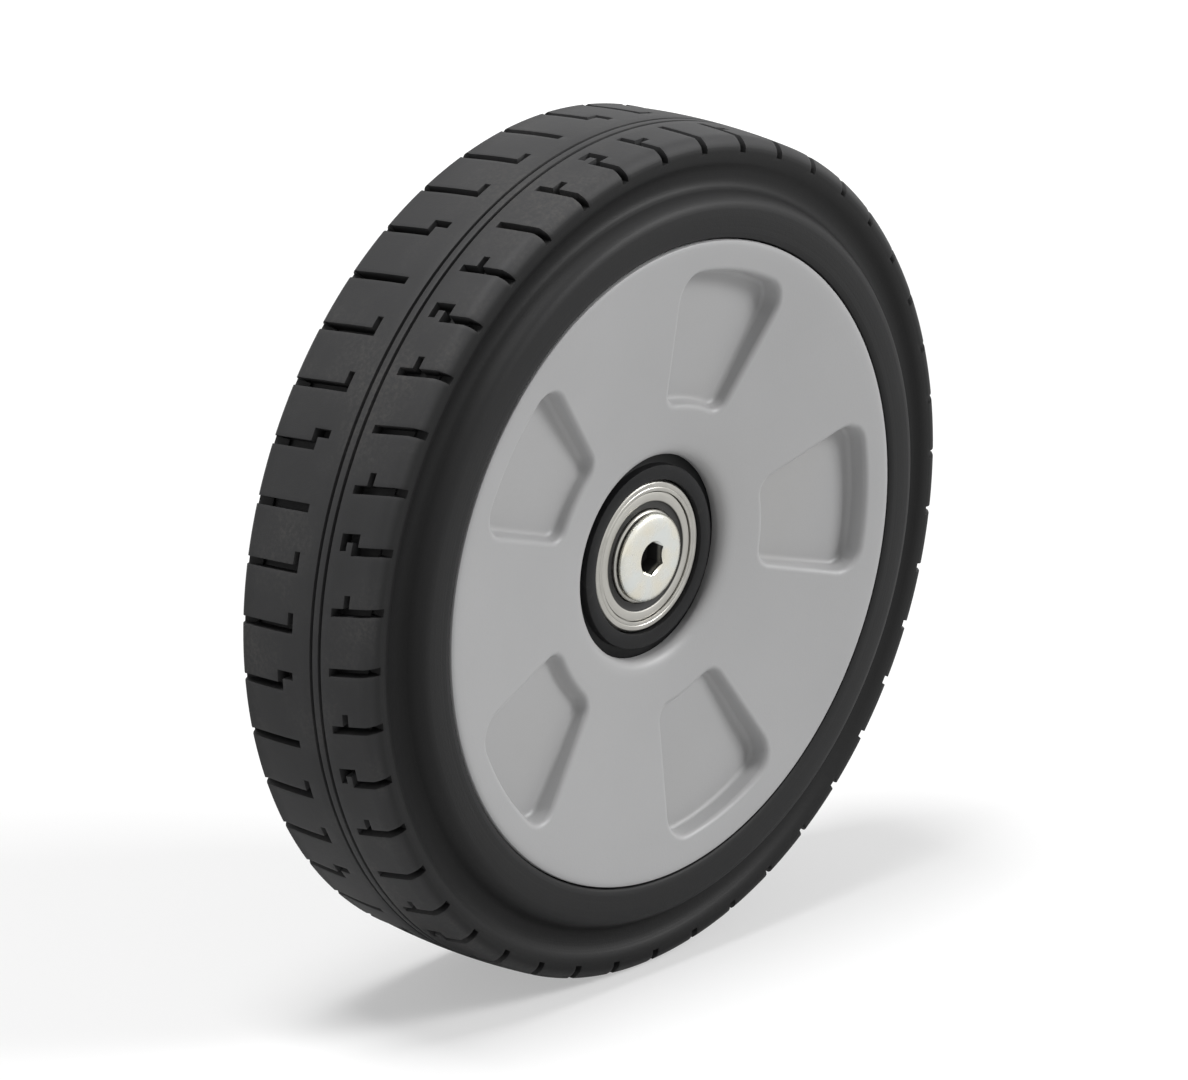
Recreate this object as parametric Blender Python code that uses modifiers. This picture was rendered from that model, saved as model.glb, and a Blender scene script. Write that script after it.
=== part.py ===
"""Rear wheel of a walk-behind lawn mower, with its bearings and axle bolt.

The wheel stands upright. Its origin is the middle of the axle line and of the
tread, the axle line is Y, the outboard face looks along -Y and Z is up.
Lengths are in metres.
"""

import math

import bmesh
import bpy
from mathutils import Matrix, Vector

MM = 0.001

# Clearance between pieces that touch or run in each other
FIT_GAP = 0.3 * MM
# How far a rib or gusset reaches into the wall that it grows from
ROOT_DEPTH = 0.5 * MM

# Tyre and tread
CROWN_RADIUS = 111.0 * MM
CROWN_RISE = 2.0 * MM
TREAD_WIDTH = 45.0 * MM
TREAD_PITCHES = 44
GROOVE_WIDTH = 2.2 * MM
GROOVE_DEPTH = 4.2 * MM
GROOVE_OVERRUN = 2.0 * MM
# The centre rib runs between two fine grooves round the tyre
CENTRE_RIB_OFFSET = 4.5 * MM
CENTRE_RIB_WIDTH = 1.8 * MM
CENTRE_GROOVE_WIDTH = 1.0 * MM
CENTRE_GROOVE_DEPTH = 1.5 * MM
OUTBOARD_LAND = 4.6 * MM
INBOARD_LAND = 7.9 * MM
NOTCH_LENGTH = 5.0 * MM
SPUR_LENGTH = 3.6 * MM
SPUR_WIDTH = 1.8 * MM
OUTBOARD_PHASE = 0.25
INBOARD_PHASE = 0.75
SHOULDER_ROUND = 1.2 * MM
SIDEWALL_BAND_WIDTH = 9.0 * MM
SIDEWALL_BAND_STEP = 3.5 * MM
SIDEWALL_VALLEY_WIDTH = 5.0 * MM
SIDEWALL_VALLEY_DEPTH = 6.0 * MM
SIDEWALL_SHOULDER_STEP = 2.6 * MM
SIDEWALL_SHOULDER_DROP = 5.8 * MM
BACK_BULGE = 2.1 * MM
TYRE_LIP = 1.0 * MM

# Outboard cover
COVER_RADIUS = 84.8 * MM
COVER_PROUD = 4.4 * MM
COVER_EDGE = 2.2 * MM
COVER_EDGE_ROUND = 0.7 * MM
COVER_FLAT = 2.4 * MM
COVER_DISH = 6.5 * MM
COVER_WALL = 2.0 * MM
HUB_RECESS_WIDTH = 2.8 * MM
POCKETS = 5
POCKET_HALF_ANGLE = math.radians(17.0)
POCKET_COLLAR = 12.5 * MM
POCKET_MARGIN = 7.2 * MM
POCKET_DEPTH = 8.5 * MM
HOOK_INSET = 4.0 * MM
HOOK_WIDTH = 7.0 * MM
HOOK_THICKNESS = 2.0 * MM
HOOK_BARB = 0.9 * MM
HOOK_TIP = 2.4 * MM

# Rim
DISC_THICKNESS = 3.0 * MM
FLANGE_THICKNESS = 2.0 * MM
FLANGE_LIP = 2.2 * MM
BARREL_WALL = 2.2 * MM
BACK_RING_INSET = 3.4 * MM
BACK_FLANGE_WIDTH = 2.4 * MM
BACK_FLANGE_LIP = 2.0 * MM
CHANNEL_WIDTH = 4.2 * MM
INNER_RING_WIDTH = 4.4 * MM
BOWL_TAPER = 8.6 * MM
RIBS = 25
RIB_THICKNESS = 1.8 * MM
RIB_HEIGHT = 16.1 * MM
RIB_SWEEP = math.radians(7.0)
CHANNEL_RIB_THICKNESS = 1.6 * MM
CHANNEL_RIB_DROP = 4.0 * MM

# Hub of the rim
HOUSING_WALL = 3.9 * MM
HOUSING_LIP = 0.7 * MM
BOSS_WALL = 2.2 * MM
BOSS_HEIGHT = 25.0 * MM
MOAT_WIDTH = 3.1 * MM
MOAT_DEPTH = 8.0 * MM
GUSSETS = 5
GUSSET_THICKNESS = 2.2 * MM
HUB_SHOULDER = 2.7 * MM

# Ball bearings
BEARING_RADIUS = 20.0 * MM
BEARING_BORE = 8.5 * MM
BEARING_WIDTH = 12.0 * MM
BEARING_DEPTH = 9.1 * MM
BEARING_REACH = 1.2 * MM
BALLS = 8
BALL_RADIUS = 3.37 * MM
INNER_SHOULDER_DROP = 2.0 * MM
OUTER_SHOULDER_DROP = 1.95 * MM
SHIELD_SEAT = 0.7 * MM
SHIELD_RIM_WIDTH = 2.2 * MM
SHIELD_THICKNESS = 0.4 * MM
SHIELD_RECESS = 0.3 * MM
SHIELD_STEP = 0.6 * MM
CAGE_WALL = 2.8 * MM
CAGE_OPEN_SIDE = 2.2 * MM

# Axle
HEAD_RADIUS = 11.6 * MM
HEAD_THICKNESS = 1.8 * MM
HEAD_CHAMFER = 0.6 * MM
SOCKET_ACROSS_FLATS = 8.0 * MM
SOCKET_DEPTH = 5.5 * MM
STUB_RADIUS = 6.0 * MM
STUB_CHAMFER = 1.0 * MM
SPACER_WALL = 2.2 * MM
WASHER_RADIUS = 12.0 * MM
WASHER_THICKNESS = 2.5 * MM
ARM_SPACE = 5.0 * MM
NUT_ACROSS_FLATS = 18.0 * MM
NUT_HEIGHT = 10.0 * MM
NUT_FLANGE_RADIUS = 12.5 * MM
NUT_FLANGE_THICKNESS = 2.2 * MM
STUB_BEYOND_NUT = 3.0 * MM

# Facets round the axle line
TYRE_STEPS = 2 * TREAD_PITCHES
RIM_STEPS = 2 * RIBS
COVER_STEPS = 12 * POCKETS
BEARING_STEPS = 24
AXLE_STEPS = 24
GROOVE_ARC_POINTS = 5
MERGE_DISTANCE = 0.00001

# Places along the axle line, outboard negative
TREAD_EDGE = TREAD_WIDTH / 2
COVER_FACE = -(TREAD_EDGE + COVER_PROUD)
POCKET_FLOOR = COVER_FACE + POCKET_DEPTH
DISC_FRONT = POCKET_FLOOR + COVER_WALL + FIT_GAP
DISC_BACK = DISC_FRONT + DISC_THICKNESS
RIB_TOP = DISC_BACK + RIB_HEIGHT
FLANGE_FRONT = COVER_FACE + COVER_EDGE + FIT_GAP
FLANGE_BACK = FLANGE_FRONT + FLANGE_THICKNESS
RIM_BACK = TREAD_EDGE
OUTBOARD_FACE = COVER_FACE + BEARING_DEPTH
INBOARD_FACE = TREAD_EDGE + BEARING_REACH
OUTBOARD_BEARING = OUTBOARD_FACE + BEARING_WIDTH / 2
INBOARD_BEARING = INBOARD_FACE - BEARING_WIDTH / 2
HEAD_SEAT = OUTBOARD_FACE - FIT_GAP
WASHER_FRONT = INBOARD_FACE + FIT_GAP
WASHER_BACK = WASHER_FRONT + WASHER_THICKNESS
NUT_FRONT = WASHER_BACK + ARM_SPACE
NUT_BACK = NUT_FRONT + NUT_HEIGHT

# Radii that follow from the ones above
HOUSING_BORE = BEARING_RADIUS + FIT_GAP
HOUSING_RADIUS = HOUSING_BORE + HOUSING_WALL
BOSS_BORE = HOUSING_RADIUS + MOAT_WIDTH
BOSS_RADIUS = BOSS_BORE + BOSS_WALL
COVER_HOLE_RADIUS = HOUSING_RADIUS + HUB_RECESS_WIDTH
POCKET_INNER_RADIUS = COVER_HOLE_RADIUS + POCKET_COLLAR
POCKET_OUTER_RADIUS = COVER_RADIUS - POCKET_MARGIN
FLANGE_RADIUS = COVER_RADIUS - FIT_GAP
FRONT_SEAT_RADIUS = FLANGE_RADIUS - FLANGE_LIP
FRONT_BARREL_BORE = FRONT_SEAT_RADIUS - BARREL_WALL
BACK_RING_RADIUS = COVER_RADIUS - BACK_RING_INSET
BACK_SEAT_RADIUS = BACK_RING_RADIUS - BACK_FLANGE_LIP
CHANNEL_OUTER = BACK_SEAT_RADIUS - BARREL_WALL
CHANNEL_INNER = CHANNEL_OUTER - CHANNEL_WIDTH
RING_BORE = CHANNEL_INNER - INNER_RING_WIDTH
BOWL_RADIUS = RING_BORE - BOWL_TAPER
HOOK_RADIUS = BOWL_RADIUS - HOOK_INSET
SHANK_RADIUS = BEARING_BORE - FIT_GAP
RACE_CLEARANCE = BALL_RADIUS + FIT_GAP
BALL_CIRCLE_RADIUS = (BEARING_RADIUS + BEARING_BORE) / 2
INNER_SHOULDER_RADIUS = BALL_CIRCLE_RADIUS - INNER_SHOULDER_DROP
OUTER_SHOULDER_RADIUS = BALL_CIRCLE_RADIUS + OUTER_SHOULDER_DROP
SHIELD_RADIUS = OUTER_SHOULDER_RADIUS + SHIELD_SEAT
SHIELD_STEP_RADIUS = SHIELD_RADIUS - SHIELD_RIM_WIDTH

COLLECTION_NAME = "lawn_mower_rear_wheel"


def clear_scene():
    """Remove what the file opens with."""
    for item in list(bpy.data.objects):
        bpy.data.objects.remove(item, do_unlink=True)


def make_collection(name):
    """Add a collection to the scene."""
    collection = bpy.data.collections.new(name)
    bpy.context.scene.collection.children.link(collection)
    return collection


def make_material(name, colour, roughness, metallic):
    """A plain finish for one piece."""
    material = bpy.data.materials.new(name)
    material.use_nodes = True
    shader = material.node_tree.nodes["Principled BSDF"]
    shader.inputs["Base Color"].default_value = (*colour, 1.0)
    shader.inputs["Roughness"].default_value = roughness
    shader.inputs["Metallic"].default_value = metallic
    material.diffuse_color = (*colour, 1.0)
    return material


def place(piece, collection, parent=None, material=None):
    """Put a finished object in its collection, on its body, with its finish."""
    collection.objects.link(piece)
    piece.parent = parent
    if material:
        piece.data.materials.append(material)
        piece.data.shade_smooth()
        piece.data.set_sharp_from_angle(angle=math.radians(30.0))
    return piece


def hide_cutter(piece):
    """A cutter is drawn as wire and never rendered."""
    piece.display_type = "WIRE"
    piece.hide_render = True
    return piece


def runs_down_outside(profile):
    """True when a closed outline runs down its outer side."""
    area = 0.0
    for (r0, y0), (r1, y1) in zip(profile, profile[1:] + profile[:1]):
        area += r0 * y1 - r1 * y0
    return area < 0.0


def turned(name, profile, steps):
    """Turn an outline of (radius, place along the axle) points about the axle."""
    points = list(profile)
    if not runs_down_outside(points):
        points.reverse()
    closed = all(radius > 0.0 for radius, _ in points)
    while not closed and points[0][0] > 0.0:
        points.append(points.pop(0))
    if not closed and points[1][0] == 0.0:
        points.append(points.pop(0))
    last = len(points) if closed else len(points) - 1
    edges = [(i, (i + 1) % len(points)) for i in range(last)]
    mesh = bpy.data.meshes.new(name)
    mesh.from_pydata([(radius, 0.0, along) for radius, along in points], edges, [])
    piece = bpy.data.objects.new(name, mesh)
    piece.rotation_euler = (math.radians(-90.0), 0.0, 0.0)
    screw = piece.modifiers.new("turn", "SCREW")
    screw.axis = "Z"
    screw.steps = steps
    screw.render_steps = steps
    screw.use_merge_vertices = True
    screw.merge_threshold = MERGE_DISTANCE
    screw.use_smooth_shade = True
    return piece


def combine(piece, tool, operation):
    """Cut a piece with a tool or join the tool to it."""
    step = piece.modifiers.new(tool.name, "BOOLEAN")
    step.operation = operation
    step.solver = "EXACT"
    step.use_hole_tolerant = True
    step.object = tool
    return step


def plate_mesh(name, outline, low, high):
    """A flat outline made into a plate between two heights along local Z."""
    curve = bpy.data.curves.new(name, "CURVE")
    curve.dimensions = "2D"
    curve.fill_mode = "BOTH"
    curve.extrude = (high - low) / 2
    spline = curve.splines.new("POLY")
    spline.points.add(len(outline) - 1)
    for point, (x, y) in zip(spline.points, outline):
        point.co = (x, y, 0.0, 1.0)
    spline.use_cyclic_u = True
    holder = bpy.data.objects.new(name, curve)
    bpy.context.scene.collection.objects.link(holder)
    graph = bpy.context.evaluated_depsgraph_get()
    mesh = bpy.data.meshes.new_from_object(holder.evaluated_get(graph))
    bpy.data.objects.remove(holder, do_unlink=True)
    mesh.transform(Matrix.Translation((0.0, 0.0, (low + high) / 2)))
    shape = bmesh.new()
    shape.from_mesh(mesh)
    bmesh.ops.remove_doubles(shape, verts=shape.verts, dist=MERGE_DISTANCE)
    bmesh.ops.recalc_face_normals(shape, faces=shape.faces)
    shape.to_mesh(mesh)
    shape.free()
    return mesh


def repeated(name, meshes_and_places):
    """One object holding a copy of each mesh at each of its places."""
    shape = bmesh.new()
    for mesh, matrix in meshes_and_places:
        copy = mesh.copy()
        copy.transform(matrix)
        if matrix.determinant() < 0.0:
            copy.flip_normals()
        shape.from_mesh(copy)
        bpy.data.meshes.remove(copy)
    mesh = bpy.data.meshes.new(name)
    shape.to_mesh(mesh)
    shape.free()
    return bpy.data.objects.new(name, mesh)


def about_axle(angle):
    """A turn about the axle line, counter-clockwise as seen from outboard."""
    return Matrix.Rotation(-angle, 4, "Y")


# A plate drawn in the plane of the wheel (X, Z), its thickness along the axle
ALONG_AXLE = Matrix(((1, 0, 0, 0), (0, 0, 1, 0), (0, 1, 0, 0), (0, 0, 0, 1)))
# A plate drawn on the tread at three o'clock: round the tyre, then across it
ON_TREAD = Matrix(((0, 0, 1, 0), (0, 1, 0, 0), (1, 0, 0, 0), (0, 0, 0, 1)))


def crown_radius_at(along):
    """Radius of the tread surface, highest at the centre rib."""
    span = TREAD_EDGE + CENTRE_RIB_OFFSET
    share = (along + CENTRE_RIB_OFFSET) / span
    return CROWN_RADIUS - CROWN_RISE * share * share


def tyre_profile():
    """Section of the solid rubber tyre."""
    rib_low = -CENTRE_RIB_OFFSET - CENTRE_RIB_WIDTH / 2
    rib_high = rib_low + CENTRE_RIB_WIDTH
    groove_low = rib_low - CENTRE_GROOVE_WIDTH
    groove_high = rib_high + CENTRE_GROOVE_WIDTH
    groove_floor = CROWN_RADIUS - CENTRE_GROOVE_DEPTH
    outboard_edge = -TREAD_EDGE + SHOULDER_ROUND
    inboard_edge = TREAD_EDGE - SHOULDER_ROUND
    outboard_shoulder = crown_radius_at(outboard_edge)
    inboard_shoulder = crown_radius_at(inboard_edge)
    bead_radius = COVER_RADIUS + FIT_GAP
    steps = (
        SIDEWALL_BAND_WIDTH,
        SIDEWALL_BAND_STEP,
        SIDEWALL_VALLEY_WIDTH,
        SIDEWALL_SHOULDER_STEP,
        SIDEWALL_SHOULDER_DROP,
    )
    # The steps share out the height of the sidewall between the bead and the crown
    share = (CROWN_RADIUS - bead_radius) / sum(steps)
    band_radius = bead_radius + SIDEWALL_BAND_WIDTH * share
    valley_radius = band_radius + SIDEWALL_BAND_STEP * share
    valley_end = valley_radius + SIDEWALL_VALLEY_WIDTH * share
    shoulder_foot = valley_end + SIDEWALL_SHOULDER_STEP * share
    valley_face = COVER_FACE + SIDEWALL_VALLEY_DEPTH
    back_bead = BACK_RING_RADIUS + FIT_GAP
    back_face = TREAD_EDGE + BACK_BULGE
    return [
        (FRONT_SEAT_RADIUS + FIT_GAP, FLANGE_BACK + FIT_GAP),
        (bead_radius, FLANGE_BACK + FIT_GAP),
        (bead_radius, COVER_FACE + TYRE_LIP),
        (bead_radius + TYRE_LIP, COVER_FACE),
        (band_radius, COVER_FACE),
        (valley_radius, valley_face),
        (valley_end, valley_face),
        (shoulder_foot, -TREAD_EDGE),
        (outboard_shoulder - SHOULDER_ROUND, -TREAD_EDGE),
        (outboard_shoulder, outboard_edge),
        (crown_radius_at(groove_low), groove_low),
        (groove_floor, groove_low),
        (groove_floor, rib_low),
        (crown_radius_at(rib_low), rib_low),
        (crown_radius_at(rib_high), rib_high),
        (groove_floor, rib_high),
        (groove_floor, groove_high),
        (crown_radius_at(groove_high), groove_high),
        (crown_radius_at(inboard_edge / 2), inboard_edge / 2),
        (inboard_shoulder, inboard_edge),
        (inboard_shoulder - SHOULDER_ROUND, TREAD_EDGE),
        ((inboard_shoulder + back_bead) / 2, back_face),
        (back_bead + SIDEWALL_BAND_STEP, back_face),
        (back_bead, TREAD_EDGE + FIT_GAP),
        (back_bead, RIM_BACK - BACK_FLANGE_WIDTH - FIT_GAP),
        (BACK_SEAT_RADIUS + FIT_GAP, RIM_BACK - BACK_FLANGE_WIDTH - FIT_GAP),
        (BACK_SEAT_RADIUS + FIT_GAP, DISC_BACK + FIT_GAP),
        (FRONT_SEAT_RADIUS + FIT_GAP, DISC_BACK + FIT_GAP),
    ]


def groove_outline(kind, edge, reach):
    """Outline of one tread groove, from past the tread edge inwards.

    The first number of a point runs round the tyre and the second across it.
    """
    half = GROOVE_WIDTH / 2
    inward = 1.0 if reach > edge else -1.0
    start = edge - inward * GROOVE_OVERRUN
    bend = edge + (reach - edge) * 0.6
    lean = GROOVE_WIDTH / 2
    if kind == "notch":
        end = edge + inward * NOTCH_LENGTH
        return [(-lean - half, start), (-lean + half, start), (half, end), (-half, end)]
    if kind == "hook":
        return [
            (-lean - half, start),
            (-lean + half, start),
            (half, bend),
            (SPUR_LENGTH, reach - inward * SPUR_WIDTH),
            (SPUR_LENGTH, reach),
            (-half, bend + inward * SPUR_WIDTH),
        ]
    return [
        (-lean - half, start),
        (-lean + half, start),
        (half, bend),
        (lean + half, reach),
        (lean - half, reach),
        (-half, bend + inward * 2 * SPUR_WIDTH),
        (-SPUR_LENGTH, bend + inward * SPUR_WIDTH),
        (-half, bend),
    ]


def tread_cutters():
    """All transverse grooves of both tread halves as one cutter."""
    low = CROWN_RADIUS - GROOVE_DEPTH
    high = CROWN_RADIUS + GROOVE_DEPTH
    pitch = math.tau / TREAD_PITCHES
    outboard_reach = -CENTRE_RIB_OFFSET - OUTBOARD_LAND
    inboard_reach = -CENTRE_RIB_OFFSET + INBOARD_LAND
    halves = (
        (-TREAD_EDGE, outboard_reach, OUTBOARD_PHASE, ("hook", "spur", "notch", "spur")),
        (TREAD_EDGE, inboard_reach, INBOARD_PHASE, ("spur", "spur", "hook", "notch")),
    )
    copies = []
    for edge, reach, phase, kinds in halves:
        meshes = [
            plate_mesh("groove_" + kind, groove_outline(kind, edge, reach), low, high)
            for kind in kinds
        ]
        for index in range(TREAD_PITCHES):
            turn = about_axle((index + phase) * pitch)
            copies.append((meshes[index % len(meshes)], turn @ ON_TREAD))
    return hide_cutter(repeated("tread_grooves", copies))


def make_tyre(cutters):
    """Solid rubber tyre with its tread cut in."""
    tyre = turned("tyre", tyre_profile(), TYRE_STEPS)
    grooves = tread_cutters()
    cutters.objects.link(grooves)
    combine(tyre, grooves, "DIFFERENCE")
    return tyre


def rim_profile():
    """Section of the moulded rim, from the hub bore round the barrel and back."""
    housing_front = OUTBOARD_FACE - HOUSING_LIP
    housing_back = INBOARD_FACE + HOUSING_LIP - FIT_GAP
    boss_back = DISC_BACK + BOSS_HEIGHT
    back_flange = RIM_BACK - BACK_FLANGE_WIDTH
    shoulder_bore = HOUSING_BORE - HUB_SHOULDER
    outboard_seat = OUTBOARD_BEARING + BEARING_WIDTH / 2 + FIT_GAP
    inboard_seat = INBOARD_BEARING - BEARING_WIDTH / 2 - FIT_GAP
    bowl_rise = RIM_BACK - DISC_BACK
    return [
        (HOUSING_BORE, housing_front),
        (HOUSING_RADIUS, housing_front),
        (HOUSING_RADIUS, DISC_FRONT),
        (FRONT_BARREL_BORE, DISC_FRONT),
        (FRONT_BARREL_BORE, FLANGE_FRONT),
        (FLANGE_RADIUS, FLANGE_FRONT),
        (FLANGE_RADIUS, FLANGE_BACK),
        (FRONT_SEAT_RADIUS, FLANGE_BACK),
        (FRONT_SEAT_RADIUS, DISC_BACK),
        (BACK_SEAT_RADIUS, DISC_BACK),
        (BACK_SEAT_RADIUS, back_flange),
        (BACK_RING_RADIUS, back_flange),
        (BACK_RING_RADIUS, RIM_BACK),
        (CHANNEL_OUTER, RIM_BACK),
        (CHANNEL_OUTER, DISC_BACK),
        (CHANNEL_INNER, DISC_BACK),
        (CHANNEL_INNER, RIM_BACK),
        (RING_BORE, RIM_BACK),
        (RING_BORE - 0.15 * BOWL_TAPER, DISC_BACK + 0.6 * bowl_rise),
        (RING_BORE - 0.4 * BOWL_TAPER, DISC_BACK + 0.25 * bowl_rise),
        (BOWL_RADIUS, DISC_BACK),
        (BOSS_RADIUS, DISC_BACK),
        (BOSS_RADIUS, boss_back),
        (BOSS_BORE, boss_back),
        (BOSS_BORE, boss_back - MOAT_DEPTH),
        (HOUSING_RADIUS, boss_back - MOAT_DEPTH),
        (HOUSING_RADIUS, housing_back),
        (HOUSING_BORE, housing_back),
        (HOUSING_BORE, inboard_seat),
        (shoulder_bore, inboard_seat),
        (shoulder_bore, outboard_seat),
        (HOUSING_BORE, outboard_seat),
    ]


def rib_angle(radius):
    """How far a rib has swept round when it reaches a radius."""
    share = (radius - BOSS_RADIUS) / (RING_BORE - BOSS_RADIUS)
    return RIB_SWEEP * share * share


def swept_rib_outline():
    """Plan of one rib, swept round as it runs out from the hub boss."""
    start = BOSS_RADIUS - ROOT_DEPTH
    end = RING_BORE + ROOT_DEPTH
    stations = 4
    left = []
    right = []
    for index in range(stations):
        radius = start + (end - start) * index / (stations - 1)
        angle = rib_angle(radius)
        half = RIB_THICKNESS / 2 / radius
        left.append((radius * math.cos(angle + half), radius * math.sin(angle + half)))
        right.append((radius * math.cos(angle - half), radius * math.sin(angle - half)))
    return right + left[::-1]


def bar_outline(inner, outer, thickness):
    """Plan of a straight radial bar."""
    half = thickness / 2
    return [(inner, -half), (outer, -half), (outer, half), (inner, half)]


def spread_round(name, mesh, count, phase=0.0):
    """Copies of a plate at even angles about the axle line."""
    pitch = math.tau / count
    places = [(mesh, about_axle((index + phase) * pitch) @ ALONG_AXLE) for index in range(count)]
    return hide_cutter(repeated(name, places))


def hook_slot_outline(clearance):
    """Plan of a cover hook, or of its slot when a clearance is given."""
    inner = HOOK_RADIUS - clearance
    outer = HOOK_RADIUS + HOOK_THICKNESS + clearance
    half = HOOK_WIDTH / 2 + clearance
    return [(inner, -half), (outer, -half), (outer, half), (inner, half)]


def make_rim(cutters):
    """Black moulded rim with its barrel, channel, ribs and hub."""
    rim = turned("rim", rim_profile(), RIM_STEPS)
    ribs = plate_mesh("rib", swept_rib_outline(), DISC_BACK - ROOT_DEPTH, RIB_TOP)
    channel_ribs = plate_mesh(
        "channel_rib",
        bar_outline(CHANNEL_INNER - ROOT_DEPTH, CHANNEL_OUTER + ROOT_DEPTH, CHANNEL_RIB_THICKNESS),
        DISC_BACK - ROOT_DEPTH,
        RIM_BACK - CHANNEL_RIB_DROP,
    )
    boss_back = DISC_BACK + BOSS_HEIGHT
    gussets = plate_mesh(
        "gusset",
        bar_outline(HOUSING_RADIUS - ROOT_DEPTH, BOSS_RADIUS - BOSS_WALL / 2, GUSSET_THICKNESS),
        boss_back - MOAT_DEPTH - ROOT_DEPTH,
        boss_back - ROOT_DEPTH,
    )
    slots = plate_mesh(
        "hook_slot",
        hook_slot_outline(HOOK_BARB + FIT_GAP),
        DISC_FRONT - ROOT_DEPTH,
        DISC_BACK + ROOT_DEPTH,
    )
    # A cover hook stands midway between two ribs
    rib_phase = 0.5 - rib_angle(HOOK_RADIUS) * RIBS / math.tau
    steps = (
        (spread_round("rib_ring", ribs, RIBS, rib_phase), "UNION"),
        (spread_round("channel_rib_ring", channel_ribs, RIBS, 0.5), "UNION"),
        (spread_round("gusset_ring", gussets, GUSSETS, 0.5), "UNION"),
        (spread_round("hook_slots", slots, POCKETS), "DIFFERENCE"),
    )
    for tool, operation in steps:
        cutters.objects.link(tool)
        combine(rim, tool, operation)
    return rim


def dish_at(radius):
    """Place of the cover's outer face at a radius."""
    start = COVER_RADIUS - COVER_FLAT
    share = (start - radius) / (start - COVER_HOLE_RADIUS)
    return COVER_FACE + COVER_DISH * share


def cover_blank_profile():
    """Section of the cover before its back is hollowed."""
    back = DISC_FRONT - FIT_GAP
    cup_radius = FRONT_BARREL_BORE - FIT_GAP
    lip = COVER_HOLE_RADIUS + COVER_EDGE_ROUND
    return [
        (COVER_RADIUS, FLANGE_FRONT - FIT_GAP),
        (COVER_RADIUS, COVER_FACE + COVER_EDGE_ROUND),
        (COVER_RADIUS - COVER_EDGE_ROUND, COVER_FACE),
        (COVER_RADIUS - COVER_FLAT, COVER_FACE),
        (lip, dish_at(lip)),
        (COVER_HOLE_RADIUS, dish_at(COVER_HOLE_RADIUS) + COVER_EDGE_ROUND),
        (COVER_HOLE_RADIUS, back),
        (cup_radius, back),
        (cup_radius, FLANGE_FRONT - FIT_GAP),
    ]


def cover_hollow_profile():
    """Section of the space behind the cover's wall."""
    collar = COVER_HOLE_RADIUS + COVER_WALL
    skirt = COVER_RADIUS - COVER_WALL
    return [
        (collar, DISC_BACK),
        (collar, dish_at(collar) + COVER_WALL),
        (skirt, COVER_FACE + COVER_WALL),
        (skirt, DISC_BACK),
    ]


def pocket_outline(wall):
    """Plan of one fan-shaped pocket, grown by a wall thickness."""
    outline = []
    for radius, steps in ((POCKET_OUTER_RADIUS + wall, 6), (POCKET_INNER_RADIUS - wall, 3)):
        half = POCKET_HALF_ANGLE + math.asin(wall / radius)
        arc = [half * (2 * index / steps - 1) for index in range(steps + 1)]
        if radius < POCKET_OUTER_RADIUS:
            arc.reverse()
        outline += [(radius * math.cos(a), radius * math.sin(a)) for a in arc]
    return outline


def hook_outline():
    """Side view of one cover hook: out from the axle, then along it."""
    root = POCKET_FLOOR + COVER_WALL / 2
    catch = DISC_BACK + FIT_GAP
    inner = HOOK_RADIUS
    outer = HOOK_RADIUS + HOOK_THICKNESS
    return [
        (inner, root),
        (outer, root),
        (outer, catch),
        (outer + HOOK_BARB, catch),
        (outer, catch + HOOK_TIP),
        (inner, catch + HOOK_TIP),
    ]


def make_cover(cutters):
    """Light grey outboard cover with its fan-shaped pockets and snap hooks."""
    cover = turned("wheel_cover", cover_blank_profile(), COVER_STEPS)
    hollow = hide_cutter(turned("cover_hollow", cover_hollow_profile(), COVER_STEPS))
    cup_plate = plate_mesh("pocket_cup", pocket_outline(COVER_WALL), 2 * COVER_FACE, 0.0)
    cups = spread_round("pocket_cups", cup_plate, POCKETS)
    cavity_plate = plate_mesh("pocket_cavity", pocket_outline(0.0), 2 * COVER_FACE, POCKET_FLOOR)
    cavities = spread_round("pocket_cavities", cavity_plate, POCKETS)
    hook_plate = plate_mesh("cover_hook", hook_outline(), -HOOK_WIDTH / 2, HOOK_WIDTH / 2)
    pitch = math.tau / POCKETS
    hooks = hide_cutter(repeated(
        "cover_hooks",
        [(hook_plate, about_axle(index * pitch)) for index in range(POCKETS)],
    ))
    for tool in (hollow, cups, cavities, hooks):
        cutters.objects.link(tool)
    combine(hollow, cups, "DIFFERENCE")
    combine(cover, hollow, "DIFFERENCE")
    combine(cover, cavities, "DIFFERENCE")
    combine(cover, hooks, "UNION")
    return cover


def groove_arc(shoulder, side, centre):
    """Points of a ball groove; side is 1 in the outer race and -1 in the inner."""
    half = math.acos(abs(shoulder - BALL_CIRCLE_RADIUS) / RACE_CLEARANCE)
    step = 2 * half / (GROOVE_ARC_POINTS - 1)
    reach = RACE_CLEARANCE / math.cos(step / 2)
    points = []
    for index in range(GROOVE_ARC_POINTS):
        angle = -half + index * step
        radius = BALL_CIRCLE_RADIUS + side * reach * math.cos(angle)
        points.append((radius, centre + reach * math.sin(angle)))
    return points


def outer_race_profile(centre):
    """Section of a bearing's outer race, with a seat for a shield at each face."""
    face = BEARING_WIDTH / 2
    seat = face - SHIELD_RECESS - SHIELD_THICKNESS - FIT_GAP
    rebate = SHIELD_RADIUS + FIT_GAP
    return [
        (BEARING_RADIUS, centre - face),
        (rebate, centre - face),
        (rebate, centre - seat),
        (OUTER_SHOULDER_RADIUS, centre - seat),
        *groove_arc(OUTER_SHOULDER_RADIUS, 1, centre),
        (OUTER_SHOULDER_RADIUS, centre + seat),
        (rebate, centre + seat),
        (rebate, centre + face),
        (BEARING_RADIUS, centre + face),
    ]


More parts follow.
